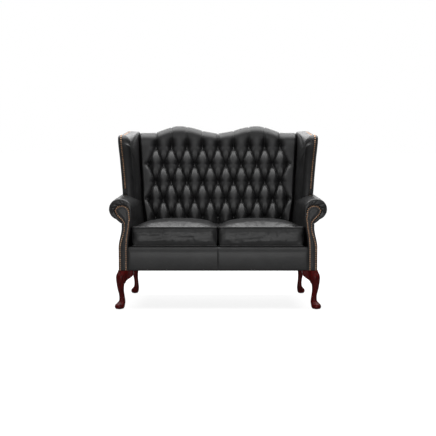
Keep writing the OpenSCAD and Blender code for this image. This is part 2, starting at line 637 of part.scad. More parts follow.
// Outer wing panel: a tray of leather over the board, with its rim turned over the edge
wing_rim_form = [[-panel_t - board_t - 2 * fit, 0], [-12, 0], [-7, 1], [-3, 4], [0, 9]];
module outer_wing_panel(right) color(leather) place() side(right) wing_place() difference() {
  skin([for (f = wing_rim_form)
    [for (p = reversed(wing_loop(f[1], arm_h + 1.6, 0))) [f[0], p[0], p[1]]]]);
  cheek(-panel_t - board_t - 10, -panel_t)
    wing_outline(wing_rim, roll_cz, panel_t - fit);
}
module outer_wing_panel_left() outer_wing_panel(false);
module outer_wing_panel_right() outer_wing_panel(true);
// Lift of a nail on the curved rim, so that its flat underside clears the curve
nail_lift = 0.25;
module wing_nails(right) color(brass) place() side(right) wing_place() {
  line = [for (p = wing_edge) if (p[1] > arm_h + 6) p];
  long = chain_len(line);
  count = round(long / nail_pitch);
  for (i = [1 : count - 1]) let (
      s = long * i / count,
      at = chain_at(line, s),
      u = chain_dir(line, s))
    translate([1 - board_t, at[0], at[1]])
      rotate([atan2(u[1], u[0]), 0, 0]) translate([0, 0, nail_lift]) nail();
}
module wing_nails_left() wing_nails(false);
module wing_nails_right() wing_nails(true);

// Outer back panel: it bends where the back starts to lean, closes the rear of the arms and
// wings, and is turned over the tops of the posts
function lean_w(z) = (z - bend_z + frame_t * sin(back_lean)) / cos(back_lean);
function wing_rear_x(z, d) = wing_point(frame_y(z) + frame_t, z, d)[0];
roll_cover = roll_r - 3;
module outer_back_half() polygon(concat([[-1, 26]],
  [for (i = [0 : 8]) let (z = mix(bend_z + 30, neck_z, i / 8))
    [arm_out(z) - panel_t - fit, lean_w(z)]],
  [for (i = [0 : 9]) let (a = mix(-68, 84, i / 9))
    [roll_cx + roll_cover * cos(a), lean_w(roll_cz + roll_cover * sin(a))]],
  [[wing_rear_x(arm_h + 2, 2), lean_w(arm_h + 2)],
   [wing_rear_x(wing_top_z, 2), wing_back_w - 2], [post_in, wing_back_w - 2]],
  [for (i = [24 : -1 : 0]) let (x = i / 24 * post_in) [x, crest_w(x) - crest_drop]],
  [[-1, crest_mid - crest_drop]]));
module outer_back_panel() color(leather) place() let (d = frame_t + fit) {
  cheek(-side_out, side_out) polygon([[seat_run + d, base_z], [seat_run + back_out, base_z],
    [seat_run + back_out, bend_z - back_out * tan(back_lean / 2)], lean_point(back_out, 30),
    lean_point(d, 30), [seat_run + d, bend_z - d * tan(back_lean / 2)]]);
  leaned() slab(d, back_out) {
    outer_back_half();
    mirror([1, 0, 0]) outer_back_half();
  }
  cap_w = wing_rear_x(wing_top_z, wing_pad_d + 2) - back_half - 1;
  for (s = [-1, 1]) leaned()
    translate([s > 0 ? back_half + 1 : -back_half - 1 - cap_w, fit, post_top + fit])
      cube([cap_w, back_out - fit, wing_back_w - 2 - post_top - fit]);
}

// Seat cushions, drawn on the sloping deck: a box that tapers towards the back, with its
// sides drawn in to the piping and a crowned top
cushion_y0 = cushion_set - border_t;
cushion_y1 = lean_point(-button_depth - crease_rise - tuft_rise, button_low)[0]
  - border_t - cushion_gap - 2;
cushion_mid = cushion_gap / 2;
cushion_front_x = arm_x(deck_z + cushion_t, 0) - cushion_gap;
cushion_rear_x = arm_x(bend_z, cushion_y1 / (seat_run - border_t)) - cushion_gap;
cushion_corner = 15;
cushion_c = [(cushion_mid + cushion_front_x) / 2, (cushion_y0 + cushion_y1) / 2];
// Outline of a cushion at a distance inside its widest reach, with its corners rounded
function side_x(y) = mix(cushion_front_x, cushion_rear_x,
  (y - cushion_y0) / (cushion_y1 - cushion_y0));
function corner(x, y, r, a) = [for (i = [0 : 3])
  [x + r * cos(a + 30 * i), y + r * sin(a + 30 * i)]];
function edge_points(a, b, n) = [for (i = [1 : n]) mix(a, b, i / (n + 1))];
function cushion_outline(e) = let (
    r = max(2, cushion_corner - e),
    k = e + r,
    a = corner(cushion_mid + k, cushion_y0 + k, r, 180),
    b = corner(side_x(cushion_y0 + k) - k, cushion_y0 + k, r, 270),
    c = corner(side_x(cushion_y1 - k) - k, cushion_y1 - k, r, 0),
    d = corner(cushion_mid + k, cushion_y1 - k, r, 90))
  concat(a, edge_points(a[3], b[0], 3), b, edge_points(b[3], c[0], 2),
    c, edge_points(c[3], d[0], 3), d, edge_points(d[3], a[0], 2));
function cushion_ring(e, z) = [for (p = cushion_outline(e)) [p[0], p[1], z]];
// Ring of the crowned top, drawn towards the middle by a share
function crown_ring(share) = let (k = 1 - pow(share, 2.4))
  [for (p = cushion_outline(piping_d + 1)) [mix(cushion_c[0], p[0], share),
    mix(cushion_c[1], p[1], share), cushion_t + fit + cushion_crown * k]];
seam_in = piping_d + 0.4;
cover_t = 7;
module cushion_cover(right) color(leather) place() seated() side(right) difference() {
  skin([cushion_ring(30, fit), cushion_ring(seam_in + 2, fit + 0.6),
    cushion_ring(seam_in, piping_d / 2), cushion_ring(seam_in, piping_d + 1),
    cushion_ring(4, piping_d + 6), cushion_ring(1.6, cushion_t * 0.3),
    cushion_ring(1, cushion_t / 2), cushion_ring(1.6, cushion_t * 0.7),
    cushion_ring(4, cushion_t - piping_d - 6), cushion_ring(seam_in, cushion_t - piping_d - 1),
    cushion_ring(seam_in, cushion_t - piping_d / 2), crown_ring(1), crown_ring(0.96),
    crown_ring(0.88), crown_ring(0.74), crown_ring(0.54), crown_ring(0.3)]);
  core_block(0);
}
module core_block(e) translate([0, 0, cover_t + e])
  linear_extrude(cushion_t - 2 * cover_t - 2 * e)
    polygon(cushion_outline(seam_in + cover_t + e));
module cushion_core(right) color(foam) place() seated() side(right) core_block(fit);
module cushion_cover_left() cushion_cover(false);
module cushion_cover_right() cushion_cover(true);
module cushion_core_left() cushion_core(false);
module cushion_core_right() cushion_core(true);

// Piping: a round cord in leather, closed on itself, along both seams
function loop_faces(rows, n) = [for (r = [0 : rows - 1], j = [0 : n - 1], h = [0, 1]) let (
    s = (r + 1) % rows,
    k = (j + 1) % n)
  h == 0 ? [r * n + k, s * n + j, r * n + j] : [r * n + k, s * n + k, s * n + j]];
module piping_loop(z) {
  line = cushion_outline(piping_d / 2);
  m = len(line);
  rings = [for (i = [0 : m - 1]) let (
      u = line[(i + 1) % m] - line[(i + m - 1) % m],
      v = [u[1], -u[0]] / norm(u))
    [for (j = [0 : 5]) let (a = 60 * j + 30, r = piping_d / 2)
      [line[i][0] + v[0] * r * cos(a), line[i][1] + v[1] * r * cos(a), z + r * sin(a)]]];
  polyhedron(flat_list(rings), loop_faces(m, 6));
}
module cushion_piping(right) color(leather) place() seated() side(right) {
  piping_loop(fit + piping_d / 2);
  piping_loop(cushion_t - piping_d / 2);
}
module cushion_piping_left() cushion_piping(false);
module cushion_piping_right() cushion_piping(true);

// Zip in the back of the boxing, with its slider and pull
zip_len = 380;
module cushion_zip(right) color(brass) place() seated() side(right)
  translate([cushion_c[0] - zip_len / 2, cushion_y1 - 0.6, cushion_t / 2]) {
    translate([0, 0, -10]) cube([zip_len, 1.2, 20]);
    translate([0, 1.2, -3]) cube([zip_len, 1.2, 6]);
    translate([12, 2.4, -5]) cube([9, 1.6, 10]);
    translate([-12, 2.4, -2.5]) cube([25, 0.8, 5]);
  }
module cushion_zip_left() cushion_zip(false);
module cushion_zip_right() cushion_zip(true);

// Cabriole leg: swells outward at the knee, narrows to the ankle and ends in a pad foot.
// Drawn with the body's outer corner at the origin and the leg running inwards along +X, +Y.
glide_t = 3;
leg_form = [[1, 0, 0.97 * knee_r], [0.94, 0.16, 0.99 * knee_r], [0.88, 0.42, knee_r],
  [0.8, 0.6, 0.93 * knee_r], [0.7, 0.75, 0.76 * knee_r],
  [0.61, 0.78, mix(ankle_r, knee_r, 0.32)], [0.5, 0.72, mix(ankle_r, knee_r, 0.14)],
  [0.38, 0.54, ankle_r], [0.28, 0.43, ankle_r + 0.5], [0.2, 0.43, mix(ankle_r, foot_r, 0.22)],
  [0.145, 0.64, mix(ankle_r, foot_r, 0.64)], [0.1, 0.9, foot_r], [0.05, 1, toe_r],
  [0.02, 1.02, foot_r - 2], [0, 1.03, foot_r - 6]];
function leg_ring(f, s) = let (
    z = mix(glide_t, leg_h, f[0]),
    c = leg_in - f[1] * foot_out * s,
    r = f[2] * s)
  [for (j = [0 : 15]) let (a = 22.5 * j, q = r * (1 + 0.05 * cos(2 * (a - 45))))
    [c + q * cos(a), c + q * sin(a), z]];
ear_len = 59;
ear_t = 26;
ear_h = 78;
ear_set = 8;
ear_form = [[0, 0], [1, 0], [1, 0.26], [0.92, 0.4], [0.73, 0.53], [0.49, 0.64], [0.27, 0.77],
  [0.14, 0.95], [0, 1]];
module ear() translate([0, ear_t + ear_set, 0]) rotate([90, 0, 0]) linear_extrude(ear_t)
  polygon([for (p = ear_form) [leg_in + p[0] * ear_len, leg_h - p[1] * ear_h]]);
module leg(s, eared) {
  skin([for (f = reversed(leg_form)) leg_ring(f, s)]);
  if (eared) {
    ear();
    mirror([1, -1, 0]) ear();
  }
}
// Screws: where they enter the frame, seen from above, and how far they reach up and down
screw_up = 36;
screw_down = 34;
screw_front = [half_w - leg_in + 3, arm_post_y1 + fit + screw_d];
screw_rear = [(post_in + post_out) / 2, seat_run + frame_t / 2];
rear_leg_s = 0.84;
module screw_hole(p) translate([p[0], p[1], leg_h - screw_down - 1])
  cylinder(d = screw_d + 2 * fit, h = screw_down + 2);
module leg_front(right) color(mahogany) place() side(right) difference() {
  translate([half_w, 0, 0]) mirror([1, 0, 0]) leg(1, true);
  screw_hole(screw_front);
}
module leg_rear(right) color(mahogany) place() side(right) difference() {
  translate([screw_rear[0] + leg_in, screw_rear[1] + leg_in, 0]) rotate([0, 0, 180])
    leg(rear_leg_s, false);
  screw_hole(screw_rear);
}
module leg_front_left() leg_front(false);
module leg_front_right() leg_front(true);
module leg_rear_left() leg_rear(false);
module leg_rear_right() leg_rear(true);
module leg_screws() color(steel) place() for (right = [false, true], p = [screw_front, screw_rear])
  side(right) translate([p[0], p[1], leg_h - screw_down])
    cylinder(d = screw_d, h = screw_down + screw_up);
// Middle of a foot, seen from above
function foot_front() = let (c = leg_in - 1.03 * foot_out) [half_w - c, c];
function foot_rear() = let (c = 1.03 * foot_out * rear_leg_s) screw_rear + [c, c];
module foot_glides() color(steel) place() for (right = [false, true], p = [foot_front(), foot_rear()])
  side(right) translate([p[0], p[1], 0]) cylinder(r = 11, h = glide_t);

// Dust cover stapled under the frame, cut round the legs
module dust_cover() color(cloth) place() translate([0, 0, leg_h - 1.5]) linear_extrude(1.5)
  polygon([for (q = [[1, 1], [-1, 1], [-1, -1], [1, -1]], i = [0 : 2]) let (
      front = q[1] < 0,
      notch_x = front ? half_w - leg_in - ear_len - 2 : post_in - 8,
      notch_y = front ? leg_in + ear_len + 2 : seat_run - 8,
      out_x = half_w - 10,
      out_y = front ? 10 : seat_run + frame_t - 10,
      c = [[out_x, notch_y], [notch_x, notch_y], [notch_x, out_y]],
      k = q[0] * q[1] > 0 ? i : 2 - i)
    [q[0] * c[k][0], c[k][1]]]);

front_rail();
rear_rail();
side_rail_left();
side_rail_right();
centre_rail();
corner_blocks();
back_post_left();
back_post_right();
crest_rail();
back_lower_rail();
back_centre_stile();
arm_post_left();
arm_post_right();
arm_rail_left();
arm_rail_right();
wing_board_left();
wing_board_right();
seat_webbing();
back_webbing();
seat_deck();
back_pad();
back_buttons();
arm_pad_left();
arm_pad_right();
wing_pad_left();
wing_pad_right();
front_border();
arm_facing_left();
arm_facing_right();
outer_arm_panel_left();
outer_arm_panel_right();
outer_wing_panel_left();
outer_wing_panel_right();
outer_back_panel();
dust_cover();
cushion_cover_left();
cushion_cover_right();
cushion_core_left();
cushion_core_right();
cushion_piping_left();
cushion_piping_right();
cushion_zip_left();
cushion_zip_right();
arm_nails_left();
arm_nails_right();
wing_nails_left();
wing_nails_right();
leg_front_left();
leg_front_right();
leg_rear_left();
leg_rear_right();
leg_screws();
foot_glides();
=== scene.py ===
import json
import math
import bmesh
import bpy
import numpy as np
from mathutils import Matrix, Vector


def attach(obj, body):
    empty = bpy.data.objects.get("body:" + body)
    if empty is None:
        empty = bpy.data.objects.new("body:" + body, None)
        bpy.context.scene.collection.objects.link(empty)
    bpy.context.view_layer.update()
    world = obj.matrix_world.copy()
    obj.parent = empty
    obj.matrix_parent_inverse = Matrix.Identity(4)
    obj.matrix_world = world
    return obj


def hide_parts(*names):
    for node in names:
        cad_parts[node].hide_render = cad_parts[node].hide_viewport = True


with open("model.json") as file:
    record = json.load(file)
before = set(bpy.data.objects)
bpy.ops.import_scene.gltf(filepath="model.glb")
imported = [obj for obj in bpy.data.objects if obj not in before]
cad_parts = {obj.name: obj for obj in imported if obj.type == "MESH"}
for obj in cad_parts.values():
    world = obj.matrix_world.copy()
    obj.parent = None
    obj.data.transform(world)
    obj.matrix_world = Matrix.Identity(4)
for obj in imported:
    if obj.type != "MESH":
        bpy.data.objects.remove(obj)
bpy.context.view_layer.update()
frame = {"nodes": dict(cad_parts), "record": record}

# Sizes of the part's source, in millimetres, with Y measured back from the arm fronts.
# CREST_MID, HUMP_RISE, CREASE, TUFT and NECK_IN lie a few millimetres closer to the photograph.
MID_Y = 370.9
BODY_W, LEG_H, RAIL_H, SEAT_RUN, SEAT_FALL = 1160, 226, 120, 561, 3
LEAN, CREST_MID, HUMP_RISE, HUMP_X, HUMP_END = math.radians(12), 707, 45, 247, 442
SHARE, PZ, LOW, DEPTH, CREASE, TUFT = 0.198, 112.7, 156, 30, 26, 20
CREST_ROLL, CREST_PAD = 58, 28
ARM_H, ROLL_R, ROLL_IN, ARM_W, NECK_IN = 647, 62, 8, 56, 19
WING_FOOT_Y, WING_SWELL, WING_TOP_Z, WING_T = 318, 80, 1012, 71
WING_LEAN, WING_SPREAD = math.radians(2.8), math.radians(2.5)
CUSHION_T, CROWN, CUSHION_SET, PIPING, GAP = 116, 42, 14, 7, 3
FRAME_T, BOARD_T, PANEL_T, BORDER_T, POST_W, SIDE_T = 46, 20, 4, 14, 50, 36
KNEE, ANKLE, FOOT, FOOT_OUT = 33, 16, 28, 23
FIT, WEB_T, DECK_T = 0.3, 3.8, 16
# The back's pad laps the posts and narrows downwards; its buttons stand in five rows
BACK_LAP, BACK_TAPER, ROWS, HALF_ROW = 11, 46, 5, 4
NECK_DROP, ROLL_SET = 147, 8
HALF_W = BODY_W / 2
RAIL_TOP = LEG_H + RAIL_H
BEND_Z = RAIL_TOP - 16
DECK_Z = RAIL_TOP + WEB_T + DECK_T
POST_OUT = HALF_W - PANEL_T - FIT - SIDE_T - FIT
BACK_HALF = POST_OUT - POST_W + BACK_LAP
BACK_LOW = BACK_HALF - BACK_TAPER
PX = BACK_HALF * SHARE
# The plain strip beside the buttons runs a little further out, behind the wings
STRIP, EDGE = 10, 16
ROLL_CX, ROLL_CZ = HALF_W - ROLL_SET, ARM_H - ROLL_R
NECK_Z = ARM_H - NECK_DROP
ROLL_INNER = ROLL_CX - ROLL_R - ROLL_IN
TOP_W = LOW + (ROWS - 1) * PZ


def mix(a, b, t):
    return a + (b - a) * t


def smooth(t):
    t = np.clip(t, 0, 1)
    return t * t * (3 - 2 * t)


def hump(x):
    a = np.abs(x)
    up = (1 - np.cos(np.pi * a / HUMP_X)) / 2
    down = (1 + np.cos(np.pi * (a - HUMP_X) / (HUMP_END - HUMP_X))) / 2
    return np.where(a < HUMP_X, up, np.where(a < HUMP_END, down, 0))


def crest_w(x):
    return CREST_MID + HUMP_RISE * hump(x)


def back_hw(z):
    strip = STRIP * smooth((z - DECK_Z - 90) / 160)
    return mix(BACK_LOW, BACK_HALF, np.clip((z - BEND_Z) / CREST_MID, 0, 1)) + strip


def frame_y(z):
    return SEAT_RUN + np.maximum(0, z - BEND_Z) * math.tan(LEAN)


def arm_in(z):
    return mix(HALF_W - ARM_W, ROLL_INNER, smooth((z - DECK_Z) / (ROLL_CZ - DECK_Z - 25)))


def arm_out(z):
    return HALF_W - NECK_IN * smooth((z - RAIL_TOP - 14) / (NECK_Z - RAIL_TOP - 34))


def arm_x(z, t):
    return mix(arm_in(z), back_hw(z) + 0.5, t)


def place(*coordinates):
    """Points from two or three coordinates, each a number or an array."""
    return np.stack(np.broadcast_arrays(*coordinates), -1)


def leaned(x, d, w):
    """Place of a point at a depth in front of the back frame and a height along its lean."""
    return place(x, SEAT_RUN - d * math.cos(LEAN) + w * math.sin(LEAN),
                 BEND_Z + d * math.sin(LEAN) + w * math.cos(LEAN))


def seated(x, y, z):
    """Place of a point on the seat: back from the border's inside and up from the deck."""
    f = math.radians(SEAT_FALL)
    return place(x, BORDER_T + y * math.cos(f) + z * math.sin(f),
                 DECK_Z - y * math.sin(f) + z * math.cos(f))


def spline(points, n):
    """Smooth curve through a list of points, with n steps between each two."""
    p = np.asarray(points, float)
    out = []
    for i in range(len(p) - 1):
        a, b, c, d = p[max(i - 1, 0)], p[i], p[i + 1], p[min(i + 2, len(p) - 1)]
        for k in range(n):
            t = k / n
            out.append(0.5 * (2 * b + (c - a) * t + (2 * a - 5 * b + 4 * c - d) * t * t
                              + (3 * b - a - 3 * c + d) * t ** 3))
    return np.array(out + [p[-1]])


def lumps(p, scale, seed, octaves=3):
    """Smooth seeded noise of about -1 to 1 at points in millimetres."""
    rng = np.random.default_rng(seed)
    total, amp = 0, 1
    for o in range(octaves):
        for _ in range(4):
            k = rng.normal(size=p.shape[-1])
            k = k / np.linalg.norm(k) * 2 * np.pi / scale * rng.uniform(0.7, 1.3) * 1.9 ** o
            total = total + amp * np.sin(p @ k + rng.uniform(0, 6.283)) / 2.8
        amp *= 0.5
    return total


def piece(name, mesh, material, node, k=1, body="sofa", flip=False,
          sub=0, weld=0.0):
    """A mesh object from points in millimetres and faces, in place of a node and on its body.

    It is made for the right side, and k = -1 mirrors it for the left.
    """
    v = (np.asarray(mesh[0], float).reshape(-1, 3) * [k, 1, 1] - [0, MID_Y, 0]) / 1000
    me = bpy.data.meshes.new(name)
    turned = flip != (k < 0)
    me.from_pydata(v.tolist(), [], [tuple(reversed(q)) if turned else tuple(q) for q in mesh[1]])
    if weld:
        bm = bmesh.new()
        bm.from_mesh(me)
        bmesh.ops.remove_doubles(bm, verts=bm.verts, dist=weld / 1000)
        bmesh.ops.dissolve_degenerate(bm, edges=bm.edges, dist=1e-6)
        bm.to_mesh(me)
        bm.free()
    me.validate()
    me.polygons.foreach_set("use_smooth", [True] * len(me.polygons))
    o = bpy.data.objects.new(name, me)
    bpy.context.scene.collection.objects.link(o)
    me.materials.append(material)
    if sub:
        m = o.modifiers.new("Subdivision", "SUBSURF")
        m.levels = m.render_levels = sub
    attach(o, body)
    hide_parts(node)


def grid_faces(rows, cols, wrap_c=False, wrap_r=False):
    """Faces between neighbours in a grid of points, closed round on itself where it wraps."""
    f = []
    for r in range(rows if wrap_r else rows - 1):
        s = (r + 1) % rows
        for c in range(cols if wrap_c else cols - 1):
            k = (c + 1) % cols
            f.append((r * cols + c, r * cols + k, s * cols + k, s * cols + c))
    return f


def net(rows, **wrap):
    """Mesh of a grid of points."""
    rows = np.array(rows)
    return rows.reshape(-1, 3), grid_faces(*rows.shape[:2], **wrap)


def loft(rings):
    """Closed rings joined in order, with each end closed by a fan."""
    rings = np.asarray(rings, float)
    rows, n = rings.shape[:2]
    faces = grid_faces(rows, n, wrap_c=True)
    v = np.vstack([rings.reshape(-1, 3), rings[0].mean(0), rings[-1].mean(0)])
    a, b = rows * n, rows * n + 1
    faces += [(a, (k + 1) % n, k) for k in range(n)]
    faces += [(b, (rows - 1) * n + k, (rows - 1) * n + (k + 1) % n) for k in range(n)]
    return v, faces


def join(parts):
    """Several meshes, each as points and faces, as one."""
    v, f, n = [], [], 0
    for a, b in parts:
        v.append(np.asarray(a).reshape(-1, 3))
        f += [tuple(i + n for i in q) for q in b]
        n += len(v[-1])
    return np.vstack(v), f


def rimmed(rows, turn):
    """Mesh of a grid of points, with its rim turned in by a vector."""
    rows = np.array(rows)
    loop = np.vstack([rows[0], rows[1:, -1], rows[-1, ::-1][1:], rows[::-1, 0][1:-1]])
    return join([net(rows), net([loop, loop - turn], wrap_c=True)])


SIDES = ("left", -1), ("right", 1)


# Materials
def nodes_of(name, base, rough, metal=0.0, spec=0.5):
    m = bpy.data.materials.new(name)
    m.use_nodes = True
    t = m.node_tree
    p = t.nodes["Principled BSDF"]
    p.inputs["Base Color"].default_value = (*base, 1)
    p.inputs["Roughness"].default_value = rough
    p.inputs["Metallic"].default_value = metal
    p.inputs["Specular IOR Level"].default_value = spec
    return m, t, p


def feed(t, socket, value):
    """Links another node's output to a socket, or sets the socket to a plain value."""
    if isinstance(value, bpy.types.NodeSocket):
        t.links.new(value, socket)
    else:
        socket.default_value = value


def add(t, kind, **values):
    n = t.nodes.new("ShaderNode" + kind)
    for k, v in values.items():
        if k in n.inputs:
            feed(t, n.inputs[k], v)
        else:
            setattr(n, k, v)
    return n


def calc(t, operation, *values):
    n = add(t, "Math", operation=operation)
    for socket, value in zip(n.inputs, values):
        feed(t, socket, value)
    return n.outputs[0]


def span(t, value, low, high, start, end, curve="LINEAR"):
    """Turns the range from low to high into the range from start to end."""
    ends = {"From Min": low, "From Max": high, "To Min": start, "To Max": end}
    n = add(t, "MapRange", interpolation_type=curve, Value=value, **ends)
    return n.outputs["Result"]


def coords(t, scale=(1, 1, 1)):
    c = add(t, "TexCoord")
    return add(t, "Mapping", Scale=scale, Vector=c.outputs["Object"]).outputs["Vector"]


def ramp(t, fac, stops):
    r = add(t, "ValToRGB")
    e = r.color_ramp.elements
    while len(e) < len(stops):
        e.new(0.5)
    for k, (pos, col) in zip(e, stops):
        k.position = pos
        k.color = (*col, 1) if len(col) == 3 else col
    t.links.new(fac, r.inputs["Fac"])
    return r.outputs["Color"]


def bump(t, height, strength, distance, after=None):
    b = add(t, "Bump", Strength=strength, Distance=distance, Height=height)
    if after is not None:
        t.links.new(after, b.inputs["Normal"])
    return b.outputs["Normal"]


def leather(name, base, rough, spec=0.5, grain=1.0):
    """Grained leather: pebbles and creases in the bump, soft mottling in colour and gloss."""
    m, t, p = nodes_of(name, base, rough, spec=spec)
    v = coords(t)
    cells = add(t, "TexVoronoi", feature="DISTANCE_TO_EDGE", Vector=v, Scale=620.0)
    fold = add(t, "TexNoise", Vector=v, Scale=95.0, Detail=4.0, Roughness=0.6)
    soft = add(t, "TexNoise", Vector=v, Scale=11.0, Detail=3.0, Roughness=0.55)
    edge = ramp(t, cells.outputs["Distance"], [(0.0, (0, 0, 0)), (0.16, (1, 1, 1))])
    n1 = bump(t, edge, 0.22 * grain, 0.0004)
    n2 = bump(t, fold.outputs["Fac"], 0.16 * grain, 0.0012, n1)
    t.links.new(n2, p.inputs["Normal"])
    dark = tuple(c * 0.72 for c in base)
    lite = tuple(min(1, c * 1.35 + 0.002) for c in base)
    t.links.new(ramp(t, soft.outputs["Fac"], [(0.32, dark), (0.7, lite)]), p.inputs["Base Color"])
    g = tuple([rough * 0.88] * 3), tuple([min(1, rough * 1.16)] * 3)
    t.links.new(ramp(t, fold.outputs["Fac"], [(0.3, g[0]), (0.72, g[1])]), p.inputs["Roughness"])
    return m


def wood(name, dark, lite, rough, coat=0.0, spec=0.5):
    """Polished or bare wood: its grain runs up, with pores in the bump."""
    m, t, p = nodes_of(name, lite, rough, spec=spec)
    p.inputs["Coat Weight"].default_value = coat
    p.inputs["Coat Roughness"].default_value = 0.12
    v = coords(t, (1, 1, 0.12))
    rings = add(t, "TexNoise", Vector=v, Scale=38.0, Detail=6.0, Roughness=0.62, Distortion=1.4)
    pores = add(t, "TexNoise", Vector=v, Scale=420.0, Detail=2.0, Roughness=0.5)
    c = ramp(t, rings.outputs["Fac"], [(0.3, dark), (0.5, lite), (0.62, dark), (0.8, lite)])
    t.links.new(c, p.inputs["Base Color"])
    t.links.new(bump(t, pores.outputs["Fac"], 0.08, 0.0003), p.inputs["Normal"])
    return m


def cloth(name, base, pitch=0.0016):
    """Plain weave: threads both ways at a pitch in metres."""
    m, t, p = nodes_of(name, base, 0.9, spec=0.2)
    v = coords(t)
    weave = calc(t, "MAXIMUM", *(
        add(t, "TexWave", wave_type="BANDS", bands_direction=axis, Vector=v,
            Scale=1 / pitch / 6.2832).outputs["Fac"] for axis in ("X", "Y")))
    dark = tuple(c * 0.6 for c in base)
    t.links.new(ramp(t, weave, [(0.3, dark), (0.9, base)]), p.inputs["Base Color"])
    t.links.new(bump(t, weave, 0.4, 0.0005), p.inputs["Normal"])
    return m


def metal(name, base, rough, tarnish, spots=90.0):
    """Metal with spots of tarnish that are darker and duller."""
    m, t, p = nodes_of(name, base, rough, metal=1.0)
    n = add(t, "TexNoise", Vector=coords(t), Scale=spots, Detail=3.0, Roughness=0.6)
    t.links.new(ramp(t, n.outputs["Fac"], [(0.35, tarnish), (0.62, base)]), p.inputs["Base Color"])
    r = tuple([rough] * 3), tuple([min(1, rough + 0.22)] * 3)
    t.links.new(ramp(t, n.outputs["Fac"], [(0.4, r[1]), (0.7, r[0])]), p.inputs["Roughness"])
    t.links.new(bump(t, n.outputs["Fac"], 0.12, 0.0004), p.inputs["Normal"])
    return m


LEATHER = leather("black_leather", (0.0105, 0.0105, 0.011), 0.36)
LEATHER_DEEP = leather("black_leather_back", (0.0105, 0.0105, 0.011), 0.38)
BUTTON = leather("black_buttons", (0.014, 0.014, 0.0145), 0.24, spec=0.7, grain=0.4)
PIPE = leather("black_piping", (0.012, 0.012, 0.0125), 0.4, grain=0.6)
MAHOGANY = wood("mahogany", (0.03, 0.0006, 0.0004), (0.11, 0.0022, 0.0015), 0.34, coat=0.03,
                spec=0.12)
BEECH = wood("beech", (0.42, 0.26, 0.13), (0.62, 0.43, 0.25), 0.6)
BRASS = metal("antique_brass", (0.52, 0.32, 0.2), 0.36, (0.22, 0.12, 0.07), 160.0)
ZIP = metal("dull_brass", (0.35, 0.25, 0.12), 0.4, (0.2, 0.13, 0.06))
STEEL = metal("zinc", (0.5, 0.5, 0.52), 0.35, (0.3, 0.3, 0.31))
JUTE = cloth("jute", (0.36, 0.26, 0.14), 0.003)
DUST = cloth("dust_cloth", (0.012, 0.012, 0.012))
FOAM = cloth("foam", (0.75, 0.66, 0.42), 0.0022)


# Tufted back
CUT = PX * PZ / 2 / math.hypot(PX / 2, PZ)


def tuft_depth(x, w):
    """Depth of the padding in front of the back frame: deep-buttoned diamonds between creases."""
    a = np.abs(x) / PX
    row = (w - LOW) / PZ
    i = np.clip(row, 0, ROWS - 1)
    u, v = a + i / 2, a - i / 2
    # Beyond the outermost buttons the creases end, and a plain roll runs up the side
    out = a > HALF_ROW + 0.5 * (1 - np.abs(np.mod(i, 2) - 1))
    even = 2 * np.round(i / 2)
    ur, vr = a - HALF_ROW + (i - even) / 2, a - HALF_ROW - (i - even) / 2
    du = np.where(out, np.clip(ur, 0, 0.5), np.abs(u - np.round(u)))
    dv = np.where(out, np.clip(vr, 0, 0.5), np.abs(v - np.round(v)))
    fu, fv = np.sin(np.pi * du), np.sin(np.pi * dv)
    near, far = np.minimum(du, dv) * 2 * CUT, np.maximum(du, dv) * 2 * CUT
    between = smooth((far - 12) / 18) * np.where((row > 0) & (row < ROWS - 1), 1, 0.3)
    puff = 0.4 * (1 - np.exp(-near / 6)) + 0.62 * np.maximum(fu * fv, 0) ** 0.55
    h = DEPTH + CREASE * np.maximum(fu, fv) ** 0.7 + TUFT * puff
    h = h + 1.6 * np.exp(-(near / 2.0) ** 2) * between
    # The leather is drawn into a funnel round each button
    off = np.abs(a - np.round(a + (np.round(i) % 2) / 2) + (np.round(i) % 2) / 2) * PX
    r = np.hypot(off, (row - np.round(i)) * PZ)
    h = h - 6 * np.exp(-(r / 19) ** 2) * smooth((r - 3) / 7) * (a < HALF_ROW + 0.7)
    # One pleat runs from each button of the top row over the crest
    top = smooth((w - TOP_W - 4) / 70)
    above = DEPTH + CREASE + TUFT * 0.62 + 3 * np.abs(np.sin(np.pi * np.minimum(a, HALF_ROW + 0.5)))
    h = mix(h, above - pleat(x, 5.0), top)
    edge = smooth((back_hw(BEND_Z + w) - np.abs(x)) / EDGE)
    low = smooth(w / LOW)
    return DEPTH + (h - DEPTH) * edge * low + 12 * (1 - edge)


def pleat(x, deep):
    """Depth of the pleats that run up from the top row's buttons."""
    a = np.abs(x) / PX
    return deep * np.exp(-(np.abs(a - np.round(a)) * PX / 3.0) ** 2) * (a < HALF_ROW + 0.3)


